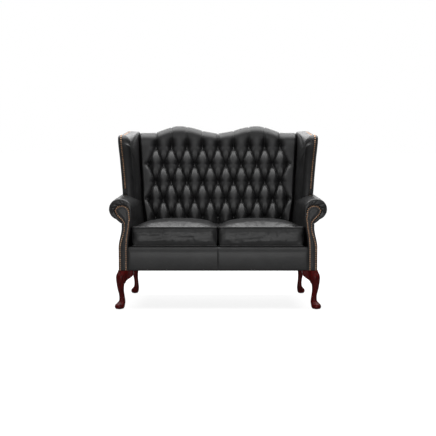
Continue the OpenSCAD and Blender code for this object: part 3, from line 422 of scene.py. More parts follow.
def make_back():
    """Inside back: its rows of points follow the creases, from the seat to behind the crest."""
    k = np.arange(15) / 14
    t = 0.55 * (0.5 - 0.5 * np.cos(np.pi * k)) + 0.45 * k
    side = 0.4 * (0.5 - 0.5 * np.cos(np.pi * np.arange(17) / 16)) + 0.6 * np.arange(17) / 16

    def filled(marks, w):
        """Places along a row from side to side, crowded at the creases."""
        hw = float(back_hw(BEND_Z + w))
        line = []
        for a, b in zip(marks[:-1], marks[1:]):
            line.extend((a + (b - a) * t)[:-1])
        line.append(marks[-1])
        right = marks[-1] + (hw - marks[-1]) * side[1:]
        left = marks[0] + (-hw - marks[0]) * side[1:]
        return np.r_[left[::-1], line, right]

    def padded(x, w):
        return leaned(x, tuft_depth(x, w), w)

    parts = []
    # Bands between rows of buttons: the creases keep their order inside a band
    for band in range(ROWS - 1):
        rows = []
        reach = HALF_ROW + 0.5 * (1 - abs(((band + 0.5) % 2) - 1)) + 1e-6
        order = sorted((n + s * (band / 2 + 0.25), n, s) for n in range(-12, 13) for s in (-1, 1))
        order = [(n, s) for at, n, s in order if abs(at) <= reach]
        for f in 0.5 * (0.5 - 0.5 * np.cos(np.pi * np.arange(25) / 24)) + np.arange(25) / 48:
            w = LOW + (band + f) * PZ
            rows.append(padded(filled([(n + s * (band + f) / 2) * PX for n, s in order], w), w))
        parts.append(net(rows))
    plain = [n * PX for n in range(-HALF_ROW, HALF_ROW + 1)]
    # Below the lowest buttons
    parts.append(net([padded(filled(plain, w), w) for w in np.linspace(14, LOW, 20)]))
    # Above the highest, over the crest and down behind it
    x = filled(plain, CREST_MID)
    c = crest_w(x)
    reach = c - CREST_ROLL
    rows = []
    for q in np.linspace(0, 1, 15):
        xx = filled(plain, mix(TOP_W, CREST_MID, q))
        rows.append(padded(xx, mix(TOP_W, crest_w(xx) - CREST_ROLL, q)))
    front = tuft_depth(x, reach)
    for q in np.linspace(0, math.pi / 2, 19)[1:]:
        d = front - CREST_ROLL * (1 - math.cos(q)) + 1.5 * math.sin(2 * q)
        rows.append(leaned(x, d, reach + CREST_ROLL * math.sin(q) - pleat(x, 4) * math.sin(q)))
    for q in np.linspace(0, 1, 8)[1:]:
        d = mix(front - CREST_ROLL, -FRAME_T + 10, q)
        rows.append(leaned(x, d, c - pleat(x, 4) * (1 - q) ** 2 - 4 * q * q))
    for q in np.linspace(0, math.pi / 2, 7)[1:]:
        rows.append(leaned(x, -FRAME_T + 10 - 10 * math.sin(q), c - 4 - 10 * (1 - math.cos(q))))
    rows.append(leaned(x, -FRAME_T, c - CREST_PAD))
    parts.append(net(rows))
    piece("tufted_back", join(parts), LEATHER_DEEP, "back_pad", weld=0.02)


make_back()


# Section of a button: radius, and height over the leather round it
BUTTON_FORM = [(0.5, -2.0), (5.4, -2.0), (7.0, -0.6), (7.5, 1.0), (7.0, 2.6), (5.6, 3.9),
               (3.6, 4.8), (1.6, 5.2), (0.02, 5.3)]


def make_buttons():
    q = np.linspace(0, 2 * np.pi, 20, endpoint=False)
    parts = []
    for i in range(ROWS):
        for j in range(-HALF_ROW, HALF_ROW + (2 if i % 2 else 1)):
            x = (j - (i % 2) / 2) * PX
            w = LOW + i * PZ
            d = float(tuft_depth(np.array(x), np.array(w)))
            parts.append(loft([leaned(x + r * np.cos(q), d + h, w + r * np.sin(q))
                               for r, h in BUTTON_FORM]))
    piece("covered_buttons", join(parts), BUTTON, "back_buttons")


make_buttons()


# Arms
FRONT_Y0 = BORDER_T + FIT
NECK_X = HALF_W - NECK_IN
WEB_ROOM = (WEB_T + 2 * FIT) / math.cos(LEAN)
FACING_IN, FACING_Y, RIM_Y = 8, 0.7, 5.7


def arm_back(x, z):
    """Rear end of the arm: in front of the webbing, and outside the post behind it."""
    return frame_y(z) - WEB_ROOM + (WEB_ROOM + FRAME_T / math.cos(LEAN)) * smooth(
        (x - POST_OUT - BOARD_T - 1) / 13)


# Places along the arm's section: the inner face to 5, the top of the roll at 10, its end at 19
ARM_U = np.r_[np.linspace(0, 1, 5)[:-1], np.linspace(1, 5, 25)[:-1], np.linspace(5, 10, 27)[:-1],
              np.linspace(10, 19, 70)[:-1], np.linspace(19, 21, 7)]


def roll_at(angle, rx=ROLL_R):
    """Place in X and Z on the arm's roll, at an angle in degrees up from the outside."""
    a = math.radians(angle)
    return ROLL_CX + rx * math.cos(a), ROLL_CZ + ROLL_R * math.sin(a)


def arm_curve(t, z0):
    """Points in X and Z up the inner face, over the roll and down to the neck."""
    out = []
    for u in ARM_U:
        if u < 5:
            z = mix(z0, DECK_Z, u) if u < 1 else mix(DECK_Z, ROLL_CZ, (u - 1) / 4)
            out.append((float(arm_x(z, t)), z))
        elif u <= 10:
            out.append(roll_at(180 - 18 * (u - 5), ROLL_CX - float(arm_x(ROLL_CZ, t))))
        elif u <= 19:
            out.append(roll_at(90 - 160 * (u - 10) / 9))
        else:
            pts = [roll_at(-70), (NECK_X + 15, NECK_Z + 11), (NECK_X, NECK_Z + FIT)]
            k = min(int(u - 19), 1)
            f = u - 19 - k
            out.append((mix(pts[k][0], pts[k + 1][0], f), mix(pts[k][1], pts[k + 1][1], f)))
    return np.array(out)


def facing_curve(e=0.0):
    """The facing's edge beside the arm's leather, at the same places as the arm's curve."""
    pts = []
    for z in [LEG_H + e] + [mix(DECK_Z, ROLL_CZ, i / 4) for i in range(4)]:
        pts.append((float(arm_in(z)) + FACING_IN + e, z))
    for k in range(14):
        a = math.radians(mix(190, 18, k / 13))
        pts.append((ROLL_CX - 13 + (ROLL_R - 17 - e) * math.cos(a),
                    ROLL_CZ - 22 + (ROLL_R - 17 - e) * math.sin(a)))
    pts += [(ROLL_CX + 16 - e, ROLL_CZ - 35), (ROLL_CX - 8 - e, NECK_Z + 26),
            (NECK_X - PANEL_T - FIT - e, NECK_Z + 8)]
    pts = np.array(pts)
    return np.stack([np.interp(ARM_U, range(22), pts[:, k]) for k in (0, 1)], -1)


def normals_of(c):
    d = np.gradient(c, axis=0)
    d /= np.linalg.norm(d, axis=1)[:, None]
    return place(d[:, 1], -d[:, 0])


# Angles round the roll, in degrees, at which its leather is pleated into the facing
PLEATS = [129, 104, 82, 37, 6, -27]


def arm_mesh():
    """Arm's leather: from the facing's edge over a pleated rim, and back along the arm."""
    c0 = arm_curve(0, LEG_H)
    edge = facing_curve(-0.4)
    n_in = normals_of(c0)
    ang = np.degrees(np.arctan2(c0[:, 1] - ROLL_CZ, c0[:, 0] - ROLL_CX))
    on = (ARM_U > 5) & (ARM_U < 20)
    groove = sum(np.exp(-((ang - a) * ROLL_R * math.pi / 180 / 2.2) ** 2) for a in PLEATS) * on
    marks = sorted(PLEATS)
    lobe = sum(np.clip(1 - ((ang - (a + b) / 2) / ((b - a) / 2)) ** 2, 0, 1)
               for a, b in zip(marks[:-1], marks[1:])) * on
    rows = []
    for q in np.linspace(1, 0, 15):
        s = c0 + n_in * 9
        p = mix(s, edge, q)
        width = np.linalg.norm(edge - s, axis=1)
        wide = np.minimum(1, width / 25)
        y = 1.0 + 4.6 * q ** 3 - (0.6 + 4.2 * lobe) * np.sin(math.pi * q) * wide
        y = y + 5.4 * groove * math.sin(math.pi * (0.5 - 0.42 * q)) * (q < 0.98)
        rows.append(place(p[:, 0], y, p[:, 1]))
    for k in range(1, 9):
        f = math.pi / 2 * (1 - k / 8)
        p = c0 + n_in * (9 * (1 - math.cos(f)) + 2.6 * groove * math.sin(f + 0.3))[:, None]
        rows.append(place(p[:, 0], 1.0 + 9 * (1 - math.sin(f)), p[:, 1]))
    body = []
    for t in np.r_[np.linspace(0.004, 0.1, 7), np.linspace(0.14, 1, 26)]:
        z0 = mix(LEG_H, 350 - 26 * t, smooth(t / 0.03))
        c = arm_curve(t, z0)
        n = normals_of(c)
        y = mix(FRONT_Y0, arm_back(c[:, 0], c[:, 1]), t)
        reach = y - FRONT_Y0
        wave = 2.0 * groove * np.exp(-reach / 16)
        soft = 0.7 * lumps(place(c[:, 0], y, c[:, 1]), 150, 11, 2) * smooth(reach / 60) * on
        c = c + n * (wave + soft)[:, None]
        body.append(place(c[:, 0], y, c[:, 1]))
    return net(rows + body)


def facing_mesh():
    """Arm's facing: flat inside the line of nails, with a rounded rim."""
    edge = facing_curve(0.0)
    zs = np.linspace(NECK_Z, LEG_H, 14)
    loop = np.vstack([edge, place(arm_out(zs) - PANEL_T - 2 * FIT, zs)])
    top = float(edge[:, 1].max())
    q = np.r_[np.linspace(0, 0.82, 90), 1 - 0.18 * (1 - np.linspace(0, 1, 34)[1:]) ** 2.2]
    z_rows = LEG_H + (top - 0.15 - LEG_H) * q
    segments = list(zip(loop, np.roll(loop, -1, axis=0)))
    rows = []
    for z in z_rows:
        xs = []
        for a, b in segments:
            if (a[1] - z) * (b[1] - z) <= 0 and a[1] != b[1]:
                xs.append(a[0] + (b[0] - a[0]) * (z - a[1]) / (b[1] - a[1]))
        lo, hi = (min(xs), max(xs)) if len(xs) > 1 else (xs[0], xs[0])
        e = np.linspace(0, 1, 33)
        e = 0.5 - 0.5 * np.cos(math.pi * e) if hi - lo > 1 else e
        rows.append(place(mix(lo, hi, 0.6 * e + 0.4 * np.linspace(0, 1, 33)), z))
    p = np.array(rows)
    flat = p.reshape(-1, 2)
    d = np.full(len(flat), 1e9)
    for a, b in segments:
        u = b - a
        h = np.clip(((flat - a) @ u) / max(u @ u, 1e-9), 0, 1)
        d = np.minimum(d, np.linalg.norm(flat - a - h[:, None] * u, axis=1))
    d = d.reshape(p.shape[:2])
    y = FACING_Y + 3.2 * np.exp(-d / 0.9) - 3.4 * smooth((d - 9.5) / 13)
    y = y - 0.35 * smooth((d - 12) / 10) * lumps(p, 60, 5, 2)
    # A rim back to the arm
    rim = [[[a[0], depth, a[1]] for a in loop] for depth in (FACING_Y + 2.6, RIM_Y)]
    return join([net(place(p[..., 0], y, p[..., 1])), net(rim, wrap_c=True)])


ARM, FACING = arm_mesh(), facing_mesh()
for side, k in SIDES:
    piece(f"arm_leather_{side}", ARM, LEATHER, f"arm_pad_{side}", k, flip=True)
    piece(f"arm_face_{side}", FACING, LEATHER, f"arm_facing_{side}", k)


# Wings
WING_Y0, WING_Z0 = WING_FOOT_Y, ARM_H - 13
WING_X0 = POST_OUT + PANEL_T + BOARD_T + 2 * FIT + (float(frame_y(ARM_H)) + FRAME_T - WING_FOOT_Y) \
    * math.tan(WING_SPREAD) + (WING_Z0 - ROLL_CZ - 19) * math.tan(WING_LEAN)
RISE = WING_TOP_Z - ARM_H
WING_BACK_W = CREST_MID + 14
# The back frame's front and rear face at the wing's top, in Y and Z
WING_BACK, WING_REAR = (leaned(0, d, WING_BACK_W)[1:] for d in (0, -FRAME_T))
# The wing's edge in Y and Z, up from its foot: shares of its swell forwards, and heights
WING_KEYS = [(WING_FOOT_Y - share * WING_SWELL, z) for share, z in (
    (0, ARM_H - 16), (0.16, ARM_H + 0.26 * RISE), (0.5, ARM_H + 0.58 * RISE),
    (0.9, ARM_H + 0.8 * RISE), (1, WING_TOP_Z - 38), (0.88, WING_TOP_Z - 8),
    (0.45, WING_TOP_Z + 2), (-0.5, WING_TOP_Z - 3))] + [
    (mix(WING_FOOT_Y, WING_BACK[0], 0.5), mix(WING_TOP_Z, WING_BACK[1], 0.42)), WING_BACK]


def wing_point(y, z, d):
    """Place of a point at a depth inside the outer face of the leaning, splayed wing."""
    x1 = -d * math.cos(WING_SPREAD) - (y - WING_Y0) * math.sin(WING_SPREAD)
    y1 = -d * math.sin(WING_SPREAD) + (y - WING_Y0) * math.cos(WING_SPREAD)
    z1 = z - WING_Z0
    return np.array([WING_X0 + x1 * math.cos(WING_LEAN) + z1 * math.sin(WING_LEAN), WING_Y0 + y1,
                     WING_Z0 - x1 * math.sin(WING_LEAN) + z1 * math.cos(WING_LEAN)])


WING_PAD_D = PANEL_T + BOARD_T + 3 * FIT
# Section of the wing's pad: share of its thickness, depth inside the edge at the front and top
FORE_R, OVER_R = 38, 56
WING_SECTION = [(-0.02, 6, 6), (0, 0.5, 0.5)] + [
    (math.sin(a), FORE_R * (1 - math.cos(a)) - 4 * math.sin(2 * a),
     OVER_R * (1 - math.cos(a)) - 3 * math.sin(2 * a))
    for a in np.radians(np.linspace(4, 90, 16))] + [(1.03, FORE_R + 20, OVER_R + 24)]


def wing_mesh():
    """Wing's pad: a roll round its edge, and an inner face that runs back to the tufts."""
    edge = spline(WING_KEYS, 10)
    # Inward is towards a rail below the top and behind the front, so the corner's lines fan out
    inward = np.stack([np.maximum(edge[:, 0], WING_FOOT_Y + 20),
                       np.minimum(edge[:, 1], WING_TOP_Z - 120)], -1) - edge
    inward /= np.linalg.norm(inward, axis=1)[:, None]
    sec = spline(WING_SECTION, 3)
    n = len(edge)
    low, spine = ROLL_CZ + 15, WING_TOP_Z + 4
    rows = []
    for i in range(n):
        s = i / (n - 1)
        z = mix(low, spine, s)
        top = float(smooth((s - 0.5) / 0.25))
        front = []
        for q, fore, over in sec:
            if i == 0:
                e = np.array([WING_FOOT_Y + fore, low])
            else:
                corner = 24 * math.exp(-((s - 0.5) / 0.12) ** 2) * min(1, max(q, 0) / 0.6) ** 0.8
                deep = mix(mix(fore, over, top), 5 * q, float(smooth((s - 0.72) / 0.28))) + corner
                e = edge[i] + inward[i] * deep
            e[0] = min(e[0], float(frame_y(e[1])) - 2 * FIT)
            front.append(wing_point(e[0], e[1], WING_PAD_D + q * (WING_T - WING_PAD_D)))
        y = float(frame_y(z)) - WEB_ROOM
        rear = np.array([float(back_hw(z)) + 1.2, y, z])
        start = front[-1]
        inner = []
        for h in np.linspace(0, 1, 26)[1:]:
            p = mix(start, rear, h)
            p[0] += -6 * math.sin(math.pi * h) ** 0.8 + 4 * float(smooth((h - 0.9) / 0.1))
            inner.append(p)
        rows.append(np.array(front + inner))
    # Behind the top the leather turns over the post, to the edge of the outside back
    last = rows[-1]
    post = wing_point(*WING_REAR, WING_PAD_D)
    share = (last[:, 0] - last[-1, 0]) / (last[0, 0] - last[-1, 0])
    edge_x = last[:, 0] + (post[0] - last[0, 0]) * share
    far = leaned(edge_x, -(FRAME_T + PANEL_T + 1.0), CREST_MID + 9)
    rows += [mix(last, far, t) + np.array([0, 0, 2.5 * math.sin(math.pi * t)])
             for t in (0.15, 0.4, 0.7, 0.9, 1)]
    rows = np.array(rows)
    u = np.linspace(0, 1, rows.shape[1])
    soft = lumps(rows, 190, 23, 2)
    rows[..., 0] -= 0.9 * soft * np.sin(np.pi * u) ** 0.5
    rows[..., 1] -= 0.7 * soft * np.sin(np.pi * u) ** 0.5
    return net(rows)


WING = wing_mesh()
for side, k in SIDES:
    piece(f"wing_leather_{side}", WING, LEATHER_DEEP, f"wing_pad_{side}", k, flip=True)


# Front border and the deck under the cushions
# Section of the border, back from the arm fronts and up from the legs: its top tucks in under
# the cushions
BORDER_FORM = [(12.6, 0), (8.6, 1.5), (5.4, 12), (3.0, 38), (1.9, 66), (2.3, 90), (4.4, 109),
               (8.6, 123), (13.0, 131)]


def border_mesh():
    """Front border, with its seam in the middle."""
    half = HALF_W - ARM_W - FIT
    x = np.unique(np.r_[np.linspace(-half, half, 121), np.linspace(-9, 9, 19)])
    profile = spline(BORDER_FORM, 5)
    rows = []
    for y, z in profile:
        z += LEG_H
        flat = math.sin(math.pi * np.clip((z - LEG_H) / (DECK_Z - LEG_H), 0, 1)) ** 0.4
        p = place(x, y, z)
        seam = 3.0 * np.exp(-(x / 1.7) ** 2) + 1.0 * np.exp(-(x / 9) ** 2)
        soft = 0.3 * lumps(p * [0.5, 1, 1], 110, 3, 2) * flat
        end = 3 * np.exp(-(half - np.abs(x)) / 5)
        p[:, 1] += (seam + soft + end) * max(flat, 0.15)
        rows.append(p)
    top = LEG_H + BORDER_FORM[-1][1] + 0.5
    return net([place(x, BORDER_T, LEG_H)] + rows + [place(x, BORDER_T + 2, top)])


piece("front_border_leather", border_mesh(), LEATHER, "front_border")


def deck_mesh():
    """The deck's cover, turned down at the front."""
    length = (SEAT_RUN - FIT - BORDER_T) / math.cos(math.radians(SEAT_FALL))
    y = np.linspace(1.2, length - 1, 60)
    rows = []
    for q in y:
        hw = mix(HALF_W - ARM_W - 2 * FIT, BACK_LOW - FIT, q / length) - 1
        x = np.linspace(-hw, hw, 90)
        e = np.minimum(np.minimum(q, length - q), hw - np.abs(x))
        soft = 0.5 * lumps(place(x, q), 120, 8, 2)
        rows.append(seated(x, q, -4 * np.exp(-np.maximum(e, 0) / 9) + soft - 0.6))
    front = HALF_W - ARM_W - 2
    return net([seated(np.linspace(-front, front, 90), 2.0, -15.0)] + rows)


piece("deck_cover", deck_mesh(), LEATHER, "seat_deck")


# Cushions
CY0 = CUSHION_SET - BORDER_T
CY1 = SEAT_RUN - (DEPTH + 45) * math.cos(LEAN) + LOW * math.sin(LEAN) - BORDER_T - GAP - 2
CX0 = GAP / 2
CFX = float(arm_x(DECK_Z + CUSHION_T, 0)) - GAP
CRX = float(arm_x(BEND_Z, CY1 / (SEAT_RUN - BORDER_T))) - GAP
CORNER = 15
SEAM = PIPING + 0.4


def cushion_xy(a, b, e):
    """Place in a cushion's plan: a runs across and b to the back, both from -1 to 1."""
    r = max(2.0, CORNER - e)
    y0, y1 = CY0 + e, CY1 - e
    ra, rb = 2 * r / (CFX - CX0 - 2 * e), 2 * r / (y1 - y0)
    aa, bb = np.abs(a), np.abs(b)
    p, q = (aa - (1 - ra)) / ra, (bb - (1 - rb)) / rb
    both = (p > 0) & (q > 0)
    p2 = np.where(both, p * np.sqrt(np.maximum(0, 1 - q * q / 2)), p)
    q2 = np.where(both, q * np.sqrt(np.maximum(0, 1 - p * p / 2)), q)
    aa, bb = np.sign(a) * ((1 - ra) + p2 * ra), np.sign(b) * ((1 - rb) + q2 * rb)
    y = mix(y0, y1, (bb + 1) / 2)
    out = CFX + (CRX - CFX) * (y - CY0) / (CY1 - CY0)
    return mix(CX0 + e, out - e, (aa + 1) / 2), y


def around(n):
    """The grid's border, once round, as places a and b."""
    s = np.linspace(-1, 1, n)
    return np.array([(v, -1) for v in s] + [(1, v) for v in s[1:]] + [(v, 1) for v in s[::-1][1:]]
                    + [(-1, v) for v in s[::-1][1:-1]])


def cushion_crown(a, b):
    return ((1 - np.abs(a) ** 2.5) * (1 - np.abs(b) ** 2.5)) ** 0.75


def cushion_mesh():
    """Closed box with a crowned top and sides drawn in to the seams, before it is filled."""
    n = 64
    a, b = np.meshgrid(np.linspace(-1, 1, n), np.linspace(-1, 1, n))
    x, y = cushion_xy(a, b, SEAM)
    crown = cushion_crown(a, b)
    top = place(x, y, CUSHION_T - 3 + (CROWN - 3) * crown)
    low = place(x, y, 1.4 - 0.9 * crown)
    ring = around(n)
    rows = []
    for h in np.r_[0.03, 0.06, np.linspace(0.1, 0.9, 21), 0.94, 0.97]:
        px, py = cushion_xy(ring[:, 0], ring[:, 1], 2.0 + 5.4 * abs(2 * h - 1) ** 4)
        rows.append(place(px, py, h * CUSHION_T))
    rows = np.array(rows)
    k = rows.shape[1]
    v, f = join([net(rows, wrap_c=True), net(top),
                 (low.reshape(-1, 3), [tuple(reversed(q)) for q in grid_faces(n, n)])])
    spot = np.rint((ring + 1) / 2 * (n - 1)).astype(int) @ [1, n]
    up, down, last = spot + len(rows) * k, spot + len(rows) * k + n * n, (len(rows) - 1) * k
    for i in range(k):
        j = (i + 1) % k
        f.append((last + i, last + j, int(up[j]), int(up[i])))
        f.append((i, int(down[i]), int(down[j]), j))
    return v, f


def tube(line, r):
    """A round cord along a closed line of points."""
    d = np.roll(line, -1, axis=0) - np.roll(line, 1, axis=0)
    d /= np.linalg.norm(d, axis=1)[:, None]
    up = np.array([0, 0, 1.0])
    across = np.cross(d, up)
    rings = [line + r * (math.cos(a) * across + math.sin(a) * up)
             for a in np.linspace(0, 2 * math.pi, 10, endpoint=False)]
    return net(np.array(rings).transpose(1, 0, 2), wrap_c=True, wrap_r=True)


# The simulation: its voxels in metres, its length, and how far it may move a point in millimetres
VOXEL, SIM_FRAMES, CAP_TOP, CAP_SIDE = 0.0065, 20, 7.0, 3.5


def filled_cover(v, f, seed):
    """The cover filled by a cloth simulation: pressure inside, its seams held at the piping."""
    me = bpy.data.meshes.new("cover")
    me.from_pydata((v / 1000).tolist(), [], f)
    me.validate()
    o = bpy.data.objects.new("cover", me)
    bpy.context.scene.collection.objects.link(o)
    voxels = o.modifiers.new("Voxels", "REMESH")
    voxels.mode, voxels.voxel_size = "VOXEL", VOXEL
    shot = bpy.data.meshes.new_from_object(o.evaluated_get(bpy.context.evaluated_depsgraph_get()))
    o.modifiers.clear()
    o.data = shot
    n = len(shot.vertices)
    p = np.empty(n * 3)
    shot.vertices.foreach_get("co", p)
    start = p.reshape(-1, 3) * 1000
    # Held along the two seams and underneath, where the cushion lies on the deck
    x, y, z = start.T
    side = np.minimum(np.minimum(x - CX0, CFX + (CRX - CFX) * (y - CY0) / (CY1 - CY0) - x),
                      np.minimum(y - CY0, CY1 - y))
    seam = np.minimum(np.abs(z - 4), np.abs(z - CUSHION_T + 4))
    hold = ((seam < 5) & (side < SEAM + 3)) | (z < 4)
    group = o.vertex_groups.new(name="held")
    group.add(np.nonzero(hold)[0].tolist(), 1.0, "REPLACE")
    # Uneven filling and slack leather start the wrinkles
    push = np.where(z > CUSHION_T, 0.3, 1.1) * lumps(start * [0.3, 0.3, 1], 52, seed, 2)
    normal = np.empty(n * 3)
    shot.vertices.foreach_get("normal", normal)
    begin = start + normal.reshape(-1, 3) * (push * ~hold)[:, None]
    shot.vertices.foreach_set("co", (begin / 1000).ravel())
    cloth = o.modifiers.new("Cloth", "CLOTH")
    c = cloth.settings
    c.quality = 4
    c.mass = 0.35
    c.tension_stiffness = c.compression_stiffness = 18
    c.shear_stiffness = 8
    c.bending_stiffness = 0.8
    c.shrink_min = -0.018
    c.use_pressure = True
    c.uniform_pressure_force = 4
    c.vertex_group_mass = "held"
    c.pin_stiffness = 1
    c.effector_weights.gravity = 0
    cloth.collision_settings.use_collision = False
    cloth.collision_settings.use_self_collision = False
    scene = bpy.context.scene
    for frame_no in range(1, SIM_FRAMES + 1):
        scene.frame_set(frame_no)
    relax = o.modifiers.new("Relax", "SMOOTH")
    relax.factor, relax.iterations = 0.5, 5
    done = bpy.data.meshes.new_from_object(o.evaluated_get(bpy.context.evaluated_depsgraph_get()))
    scene.frame_set(1)
    done.vertices.foreach_get("co", p)
    end = p.reshape(-1, 3) * 1000
    move = end - start
    far = np.linalg.norm(move, axis=1)
    cap = np.where(z > CUSHION_T, CAP_TOP, CAP_SIDE)
    end = start + move * np.minimum(1, cap / np.maximum(far, 1e-6))[:, None]
    faces = [tuple(q.vertices) for q in done.polygons]
    bpy.data.objects.remove(o)
    return end, faces


def cushion(side, k, seed):
    """A cushion's cover and its two rings of piping."""
    v, f = cushion_mesh()
    sub = 1
    if sub:
        v, f = filled_cover(v, f, seed)
    # It stays inside the room between the arm, its neighbour, the back and the deck
    edge = CFX + (CRX - CFX) * (v[:, 1] - CY0) / (CY1 - CY0)
    across = np.abs(2 * (v[:, 0] - CX0) / (edge - CX0) - 1)
    up = np.clip(v[:, 2] / CUSHION_T, 0, 1)
    face = smooth((CY0 + 14 - v[:, 1]) / 10) * np.sin(np.pi * up) ** 0.7
    v[:, 1] += face * (7 * smooth((across - 0.8) / 0.2) - 1.5
                       - 1.3 * lumps(place(v[:, 0] * 0.16, v[:, 2]), 46, seed + 1, 3))
    v[:, 0] = np.clip(v[:, 0], CX0 - 0.6, edge + 0.8)
    v[:, 1] = np.clip(v[:, 1], CY0 - 5, CY1 + 0.5)
    v[:, 2] = np.maximum(v[:, 2], 0.5)
    v = seated(*v.T)
    body = f"cushion_{side}"
    piece(f"seat_cushion_{side}", (v, f), LEATHER, f"cushion_cover_{side}", k, body,
          sub=sub)
    ring = around(90)
    parts = []
    for z in (3.9, CUSHION_T - 3.5):
        x, y = cushion_xy(ring[:, 0], ring[:, 1], PIPING / 2)
        parts.append(tube(seated(x, y, z), PIPING / 2))
    piece(f"cushion_welt_{side}", join(parts), PIPE, f"cushion_piping_{side}", k, body)


cushion("left", -1, 41)
cushion("right", 1, 67)


# Outside of the sofa: the leather over the back, the arms and the wings
BACK_OUT, BACK_TOP = FRAME_T + FIT + PANEL_T, CREST_MID + 10


def puff(e, high, reach):
    """Swell of a panel at a distance from its edge."""
    return high * (1 - np.exp(-np.maximum(e, 0) / reach)) - 1.6 * np.exp(-np.maximum(e, 0) / 2.5)


def wing_rear_x(z):
    return wing_point(float(frame_y(z)) + FRAME_T, z, 2)[0]


# Heights and half widths of the outside back beside the neck of the arm's roll
NECK_EDGE = ((NECK_Z, NECK_Z + 11, ROLL_CZ - 57), (NECK_X - 4, NECK_X + 12, ROLL_CX + 17))


def back_mesh():
    """Outside back: half its width at each height follows the arms, their rolls and the wings."""
    kink = BACK_OUT * (math.sin(LEAN) - math.tan(LEAN / 2)) / math.cos(LEAN)
    low = -(BEND_Z - BACK_OUT * math.tan(LEAN / 2) - LEG_H) + kink
    cover = ROLL_R - 3
    ws = np.unique(np.r_[np.linspace(low, kink, 14), np.linspace(kink, 170, 22),
                         np.linspace(170, 345, 90), np.linspace(345, BACK_TOP, 50)])
    rows = []
    u = np.sin(np.linspace(-math.pi / 2, math.pi / 2, 141))
    u = 0.45 * u + 0.55 * np.linspace(-1, 1, 141)
    for w in ws:
        z = BEND_Z - BACK_OUT * math.sin(LEAN) + w * math.cos(LEAN)
        if w <= kink:
            half = HALF_W - PANEL_T - 1.2
        else:
            half = float(arm_out(z)) - PANEL_T - FIT
            if z > ARM_H - 18:
                half = wing_rear_x(min(z, WING_TOP_Z))
            if NECK_Z < z < ROLL_CZ:
                half = max(half, float(np.interp(z, *NECK_EDGE)))
            if abs(z - ROLL_CZ) < cover:
                half = max(half, ROLL_CX + math.sqrt(cover ** 2 - (z - ROLL_CZ) ** 2))
        x = u * half
        s = (w - low) / (BACK_TOP - low)
        top = mix(crest_w(x) - 12, BACK_TOP, smooth((np.abs(x) - BACK_HALF - STRIP + 6) / 8))
        top = mix(CREST_MID - 12, top, smooth((s - 0.55) / 0.45))
        up = w + (top - BACK_TOP) * smooth((s - 0.5) / 0.5) if w > kink else w
        edge = np.minimum(half - np.abs(x), min(w - low, max(BACK_TOP - w, 0)))
        soft = 0.6 * lumps(place(x, up) * [1, 0.6], 210, 31, 3) * smooth(edge / 40)
        out = BACK_OUT - FIT + puff(edge, 3.0, 26) + soft
        if w > kink:
            rows.append(leaned(x, -out, up))
        else:
            rows.append(place(x, SEAT_RUN + out, LEG_H + (w - low)))
    return rimmed(rows, [0, PANEL_T - 0.6, 0])


piece("outside_back", back_mesh(), LEATHER, "outer_back_panel", weld=0.02, flip=True)


def outer_arm_mesh():
    """Outside arm: a sheet of leather from the frame's underside up to the neck of the roll."""
    rows = []
    kink_z = BEND_Z - BACK_OUT * math.tan(LEAN / 2)
    k = np.linspace(0, 1, 60)
    for z in np.r_[LEG_H + np.array([0, 1.5, 4, 8]), np.linspace(LEG_H + 14, NECK_Z - 8, 44),
                   NECK_Z - np.array([4, 1.5, 0.2])]:
        rear = SEAT_RUN + BACK_OUT
        if z > kink_z:
            rear = SEAT_RUN + BACK_OUT / math.cos(LEAN) + (z - BEND_Z) * math.tan(LEAN)
        y = 1.5 + (rear - 1.8) * (0.35 * (0.5 - 0.5 * np.cos(math.pi * k)) + 0.65 * k)
        e = np.minimum(np.minimum(y - 1.5, rear - y), np.minimum(z - LEG_H, NECK_Z - z + 2))
        soft = 0.5 * lumps(place(y, z), 170, 37, 3) * smooth(e / 30)
        x = arm_out(z) - 0.3 + puff(e, 1.8, 22) + soft
        rows.append(place(x, y, z))
    return rimmed(rows, [PANEL_T - 0.4, 0, 0])


def outer_wing_mesh():
    """Outside wing: a flat field with a rounded rim that turns in to the line of nails."""
    low = ARM_H + FIT
    edge = spline(WING_KEYS, 10)
    fore = np.array([[WING_FOOT_Y, low]] + [q for q in edge if q[1] > low + 4])
    n = len(fore)
    a = np.array([float(frame_y(low)) + FRAME_T / math.cos(LEAN), low])
    aft = np.array([mix(a, WING_REAR, i / (n - 1)) for i in range(n)])
    rows = []
    steps = np.r_[0, 1.2, 3, 5.5, 8.5, 12, 17]
    for i in range(n):
        length = max(float(np.linalg.norm(aft[i] - fore[i])), 36.0)
        qs = np.r_[steps / length, np.linspace(22 / length, 1 - 22 / length, 26),
                   1 - steps[::-1] / length]
        row = [np.append(fore[i], WING_PAD_D - 0.6)]
        for q in qs:
            at = mix(fore[i], aft[i], q)
            top = np.linalg.norm(edge - at, axis=1).min()
            e = min(top, (1 - q) * length)
            inset = 12 * (1 - math.sqrt(max(0, 1 - (1 - min(e / 12, 1)) ** 2)))
            swell = 3.2 * (1 - math.exp(-max(e - 8, 0) / 30))
            swell += 0.5 * float(lumps(at, 160, 43, 3)) * min(e / 40, 1)
            row.append(np.append(at, inset - swell))
        row.append(np.append(aft[i], WING_PAD_D - 0.6))
        rows.append([wing_point(y, z, d) for y, z, d in row])
    # The top is closed over the board
    rows.append([wing_point(y, z, WING_PAD_D - 0.6) for y, z, d in row])
    return net(rows)


OUT_ARM, OUT_WING = outer_arm_mesh(), outer_wing_mesh()
for side, k in SIDES:
    piece(f"outside_arm_{side}", OUT_ARM, LEATHER, f"outer_arm_panel_{side}", k, weld=0.02)
    piece(f"outside_wing_{side}", OUT_WING, LEATHER_DEEP, f"outer_wing_panel_{side}", k, weld=0.02)


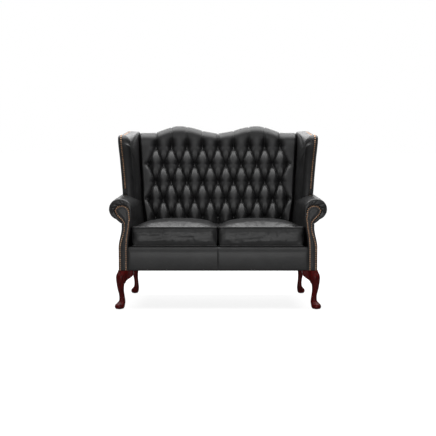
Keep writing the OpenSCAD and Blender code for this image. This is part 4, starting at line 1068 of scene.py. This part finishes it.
# Legs
# Section of a leg: share of its height, shift outwards as a share of FOOT_OUT, and radius
LEG_FORM = [(1, 0, 0.97 * KNEE), (0.94, 0.16, 0.99 * KNEE), (0.88, 0.42, KNEE),
            (0.8, 0.6, 0.93 * KNEE), (0.7, 0.75, 0.76 * KNEE), (0.61, 0.78, mix(ANKLE, KNEE, 0.32)),
            (0.5, 0.72, mix(ANKLE, KNEE, 0.14)), (0.38, 0.54, ANKLE), (0.28, 0.43, ANKLE + 0.5),
            (0.2, 0.43, mix(ANKLE, FOOT, 0.22)), (0.145, 0.64, mix(ANKLE, FOOT, 0.64)),
            (0.1, 0.9, FOOT), (0.05, 1, FOOT + 0.5), (0.02, 1.02, FOOT - 2), (0, 1.03, FOOT - 6)]
# Underside of the ears: height, and length from the leg's corner
EARS = [(226, 59), (206, 59), (195, 54), (185, 43), (176, 29), (166, 16), (152, 8), (148, 0)]
LEG_IN, REAR_LEG_S = 28, 0.84


def leg_mesh(s, eared):
    """A cabriole leg at a scale in plan, from its outer corner, with or without ears."""
    form = spline(LEG_FORM[::-1], 5)
    th = np.linspace(0, 2 * np.pi, 96, endpoint=False)
    east, north = np.cos(th), np.sin(th)
    ear_z, ear_length = np.array(EARS[::-1], float).T
    rings = []
    for f0, shift, r in form:
        z = mix(3, LEG_H, f0)
        c = LEG_IN - shift * FOOT_OUT * s
        q = r * s * (1 + 0.05 * np.cos(2 * (th - math.pi / 4)))
        if eared:
            length = float(np.interp(z, ear_z, ear_length))
            if length > 0.5:
                # Reach of the two ears from the leg's axis, as boxes along X and Y
                for ax, ay in ((east, north), (north, east)):
                    far = LEG_IN + length - c
                    lo, hi = 8 - c, 34 - c
                    with np.errstate(divide="ignore", invalid="ignore"):
                        tx = np.where(ax > 1e-6, far / ax, 1e9)
                        ty = np.where(ay > 1e-6, hi / ay, np.where(ay < -1e-6, lo / ay, 1e9))
                    reach = np.where(ax > 0.05, np.minimum(tx, ty), 0)
                    reach = np.where(reach > 500, 0, reach)
                    q = (q ** 9 + np.maximum(reach, 0) ** 9) ** (1 / 9)
        rings.append(place(c + q * east, c + q * north, z))
    return loft(rings)


FRONT_LEG, REAR_LEG = leg_mesh(1, True), leg_mesh(REAR_LEG_S, False)
REAR_X, REAR_Y = POST_OUT - POST_W / 2, SEAT_RUN + FRAME_T / 2
for side, k in SIDES:
    piece(f"cabriole_leg_{side}", (FRONT_LEG[0] * [-1, 1, 1] + [HALF_W, 0, 0], FRONT_LEG[1]),
          MAHOGANY, f"leg_front_{side}", k, flip=True)
    piece(f"back_leg_{side}",
          (REAR_LEG[0] * [-1, -1, 1] + [REAR_X + LEG_IN, REAR_Y + LEG_IN, 0], REAR_LEG[1]),
          MAHOGANY, f"leg_rear_{side}", k)


# Finish of the nodes that stay
SLOTS = {s["node"]: s["material_slot"] for s in frame["record"]["subparts"]}
FINISH = {"black_leather": LEATHER, "beech_frame": BEECH, "mahogany": MAHOGANY, "nail_brass": BRASS,
          "zip_brass": ZIP, "steel": STEEL, "jute_webbing": JUTE, "dust_cloth": DUST, "foam": FOAM}
for name, o in frame["nodes"].items():
    o.data.materials.clear()
    o.data.materials.append(FINISH[SLOTS[name]])


# Floor, light and camera
FLOOR_GLOW, FLOOR_GLOSS = 0.88, 0.15
HORIZON, OVERHEAD = 0.1, 1.0
WHITE = (1, 1, 1, 1)


def plane(name, size, z):
    me = bpy.data.meshes.new(name)
    h = size / 2
    me.from_pydata([(-h, -h, z), (h, -h, z), (h, h, z), (-h, h, z)], [], [(0, 1, 2, 3)])
    o = bpy.data.objects.new(name, me)
    bpy.context.scene.collection.objects.link(o)
    return o


def seen_by(t, *kinds):
    """1 for the kinds of ray that look at the background, 0 for those that light the sofa."""
    path = add(t, "LightPath")
    out = path.outputs[kinds[0]]
    for kind in kinds[1:]:
        out = calc(t, "MAXIMUM", out, path.outputs[kind])
    return out


def studio():
    floor = plane("floor", 80, 0.0)
    m, t, p = nodes_of("floor_white", (0.3, 0.3, 0.3), 0.9, spec=0.0)
    # Close to the sofa the floor takes its shadow, and further off it turns into the backdrop
    far = add(t, "VectorMath", operation="LENGTH", Vector=coords(t))
    away = span(t, far.outputs["Value"], 0.9, 2.4, 0.0, 1.0, "SMOOTHSTEP")
    lit = span(t, away, 0.0, 1.0, FLOOR_GLOW, 1.0)
    seen = calc(t, "MULTIPLY_ADD", seen_by(t, "Is Glossy Ray"), FLOOR_GLOSS,
                seen_by(t, "Is Camera Ray", "Is Transmission Ray"))
    glow = add(t, "Emission", Color=WHITE, Strength=calc(t, "MULTIPLY", lit, seen))
    both = add(t, "AddShader")
    t.links.new(p.outputs[0], both.inputs[0])
    t.links.new(glow.outputs[0], both.inputs[1])
    t.links.new(both.outputs[0], t.nodes["Material Output"].inputs["Surface"])
    floor.data.materials.append(m)

    w = bpy.data.worlds.new("studio")
    bpy.context.scene.world = w
    w.use_nodes = True
    t = w.node_tree
    bg = t.nodes["Background"]
    bg.inputs["Color"].default_value = WHITE
    # In gloss the backdrop is bright over the sofa and dims towards the horizon
    split = add(t, "SeparateXYZ", Vector=add(t, "TexCoord").outputs["Generated"])
    sweep = span(t, split.outputs["Z"], 0.15, 0.75, HORIZON, OVERHEAD, "SMOOTHSTEP")
    level = add(t, "Mix", data_type="FLOAT")
    feed(t, level.inputs[0], seen_by(t, "Is Glossy Ray"))
    feed(t, level.inputs[2], HORIZON)
    feed(t, level.inputs[3], sweep)
    t.links.new(level.outputs[0], bg.inputs["Strength"])
    white = add(t, "Background", Color=WHITE, Strength=1.0)
    pick = add(t, "MixShader")
    t.links.new(seen_by(t, "Is Camera Ray", "Is Transmission Ray"), pick.inputs[0])
    t.links.new(bg.outputs[0], pick.inputs[1])
    t.links.new(white.outputs[0], pick.inputs[2])
    t.links.new(pick.outputs[0], t.nodes["World Output"].inputs["Surface"])


def aimed(o, at, target):
    o.location = at
    o.rotation_euler = (Vector(target) - Vector(at)).to_track_quat("-Z", "Y").to_euler()
    bpy.context.scene.collection.objects.link(o)
    return o


def lamp(name, at, target, size, power):
    d = bpy.data.lights.new(name, "AREA")
    d.shape = "RECTANGLE"
    d.size, d.size_y = size
    d.energy = power
    return aimed(bpy.data.objects.new(name, d), at, target)


studio()
lamp("overhead", (0.0, 0.25, 3.2), (0, 0.0, 0.5), (5.0, 2.6), 165)
lamp("rear", (0.0, 4.0, 3.0), (0, 0.3, 0.9), (5.0, 2.0), 90)
lamp("front", (0.0, -7.2, 0.8), (0, 0, 0.5), (4.6, 1.2), 95)

# The focal length is in pixels of the photograph, which is PICTURE of them wide
PICTURE, FOCAL, SENSOR = 436, 1036.76, 36
TILT = math.radians(4.8315)
EYE_BACK, EYE_H = 6.0, 1.042
cam = bpy.data.cameras.new("camera")
cam.sensor_width = SENSOR
cam.lens = FOCAL * SENSOR / PICTURE
eye = np.array([0, -EYE_BACK - MID_Y / 1000, EYE_H])
bpy.context.scene.camera = aimed(bpy.data.objects.new("camera", cam), eye.tolist(),
                                 (eye + [0, math.cos(TILT), -math.sin(TILT)]).tolist())
cam.clip_end = 200
bpy.context.scene.view_settings.view_transform = "Standard"
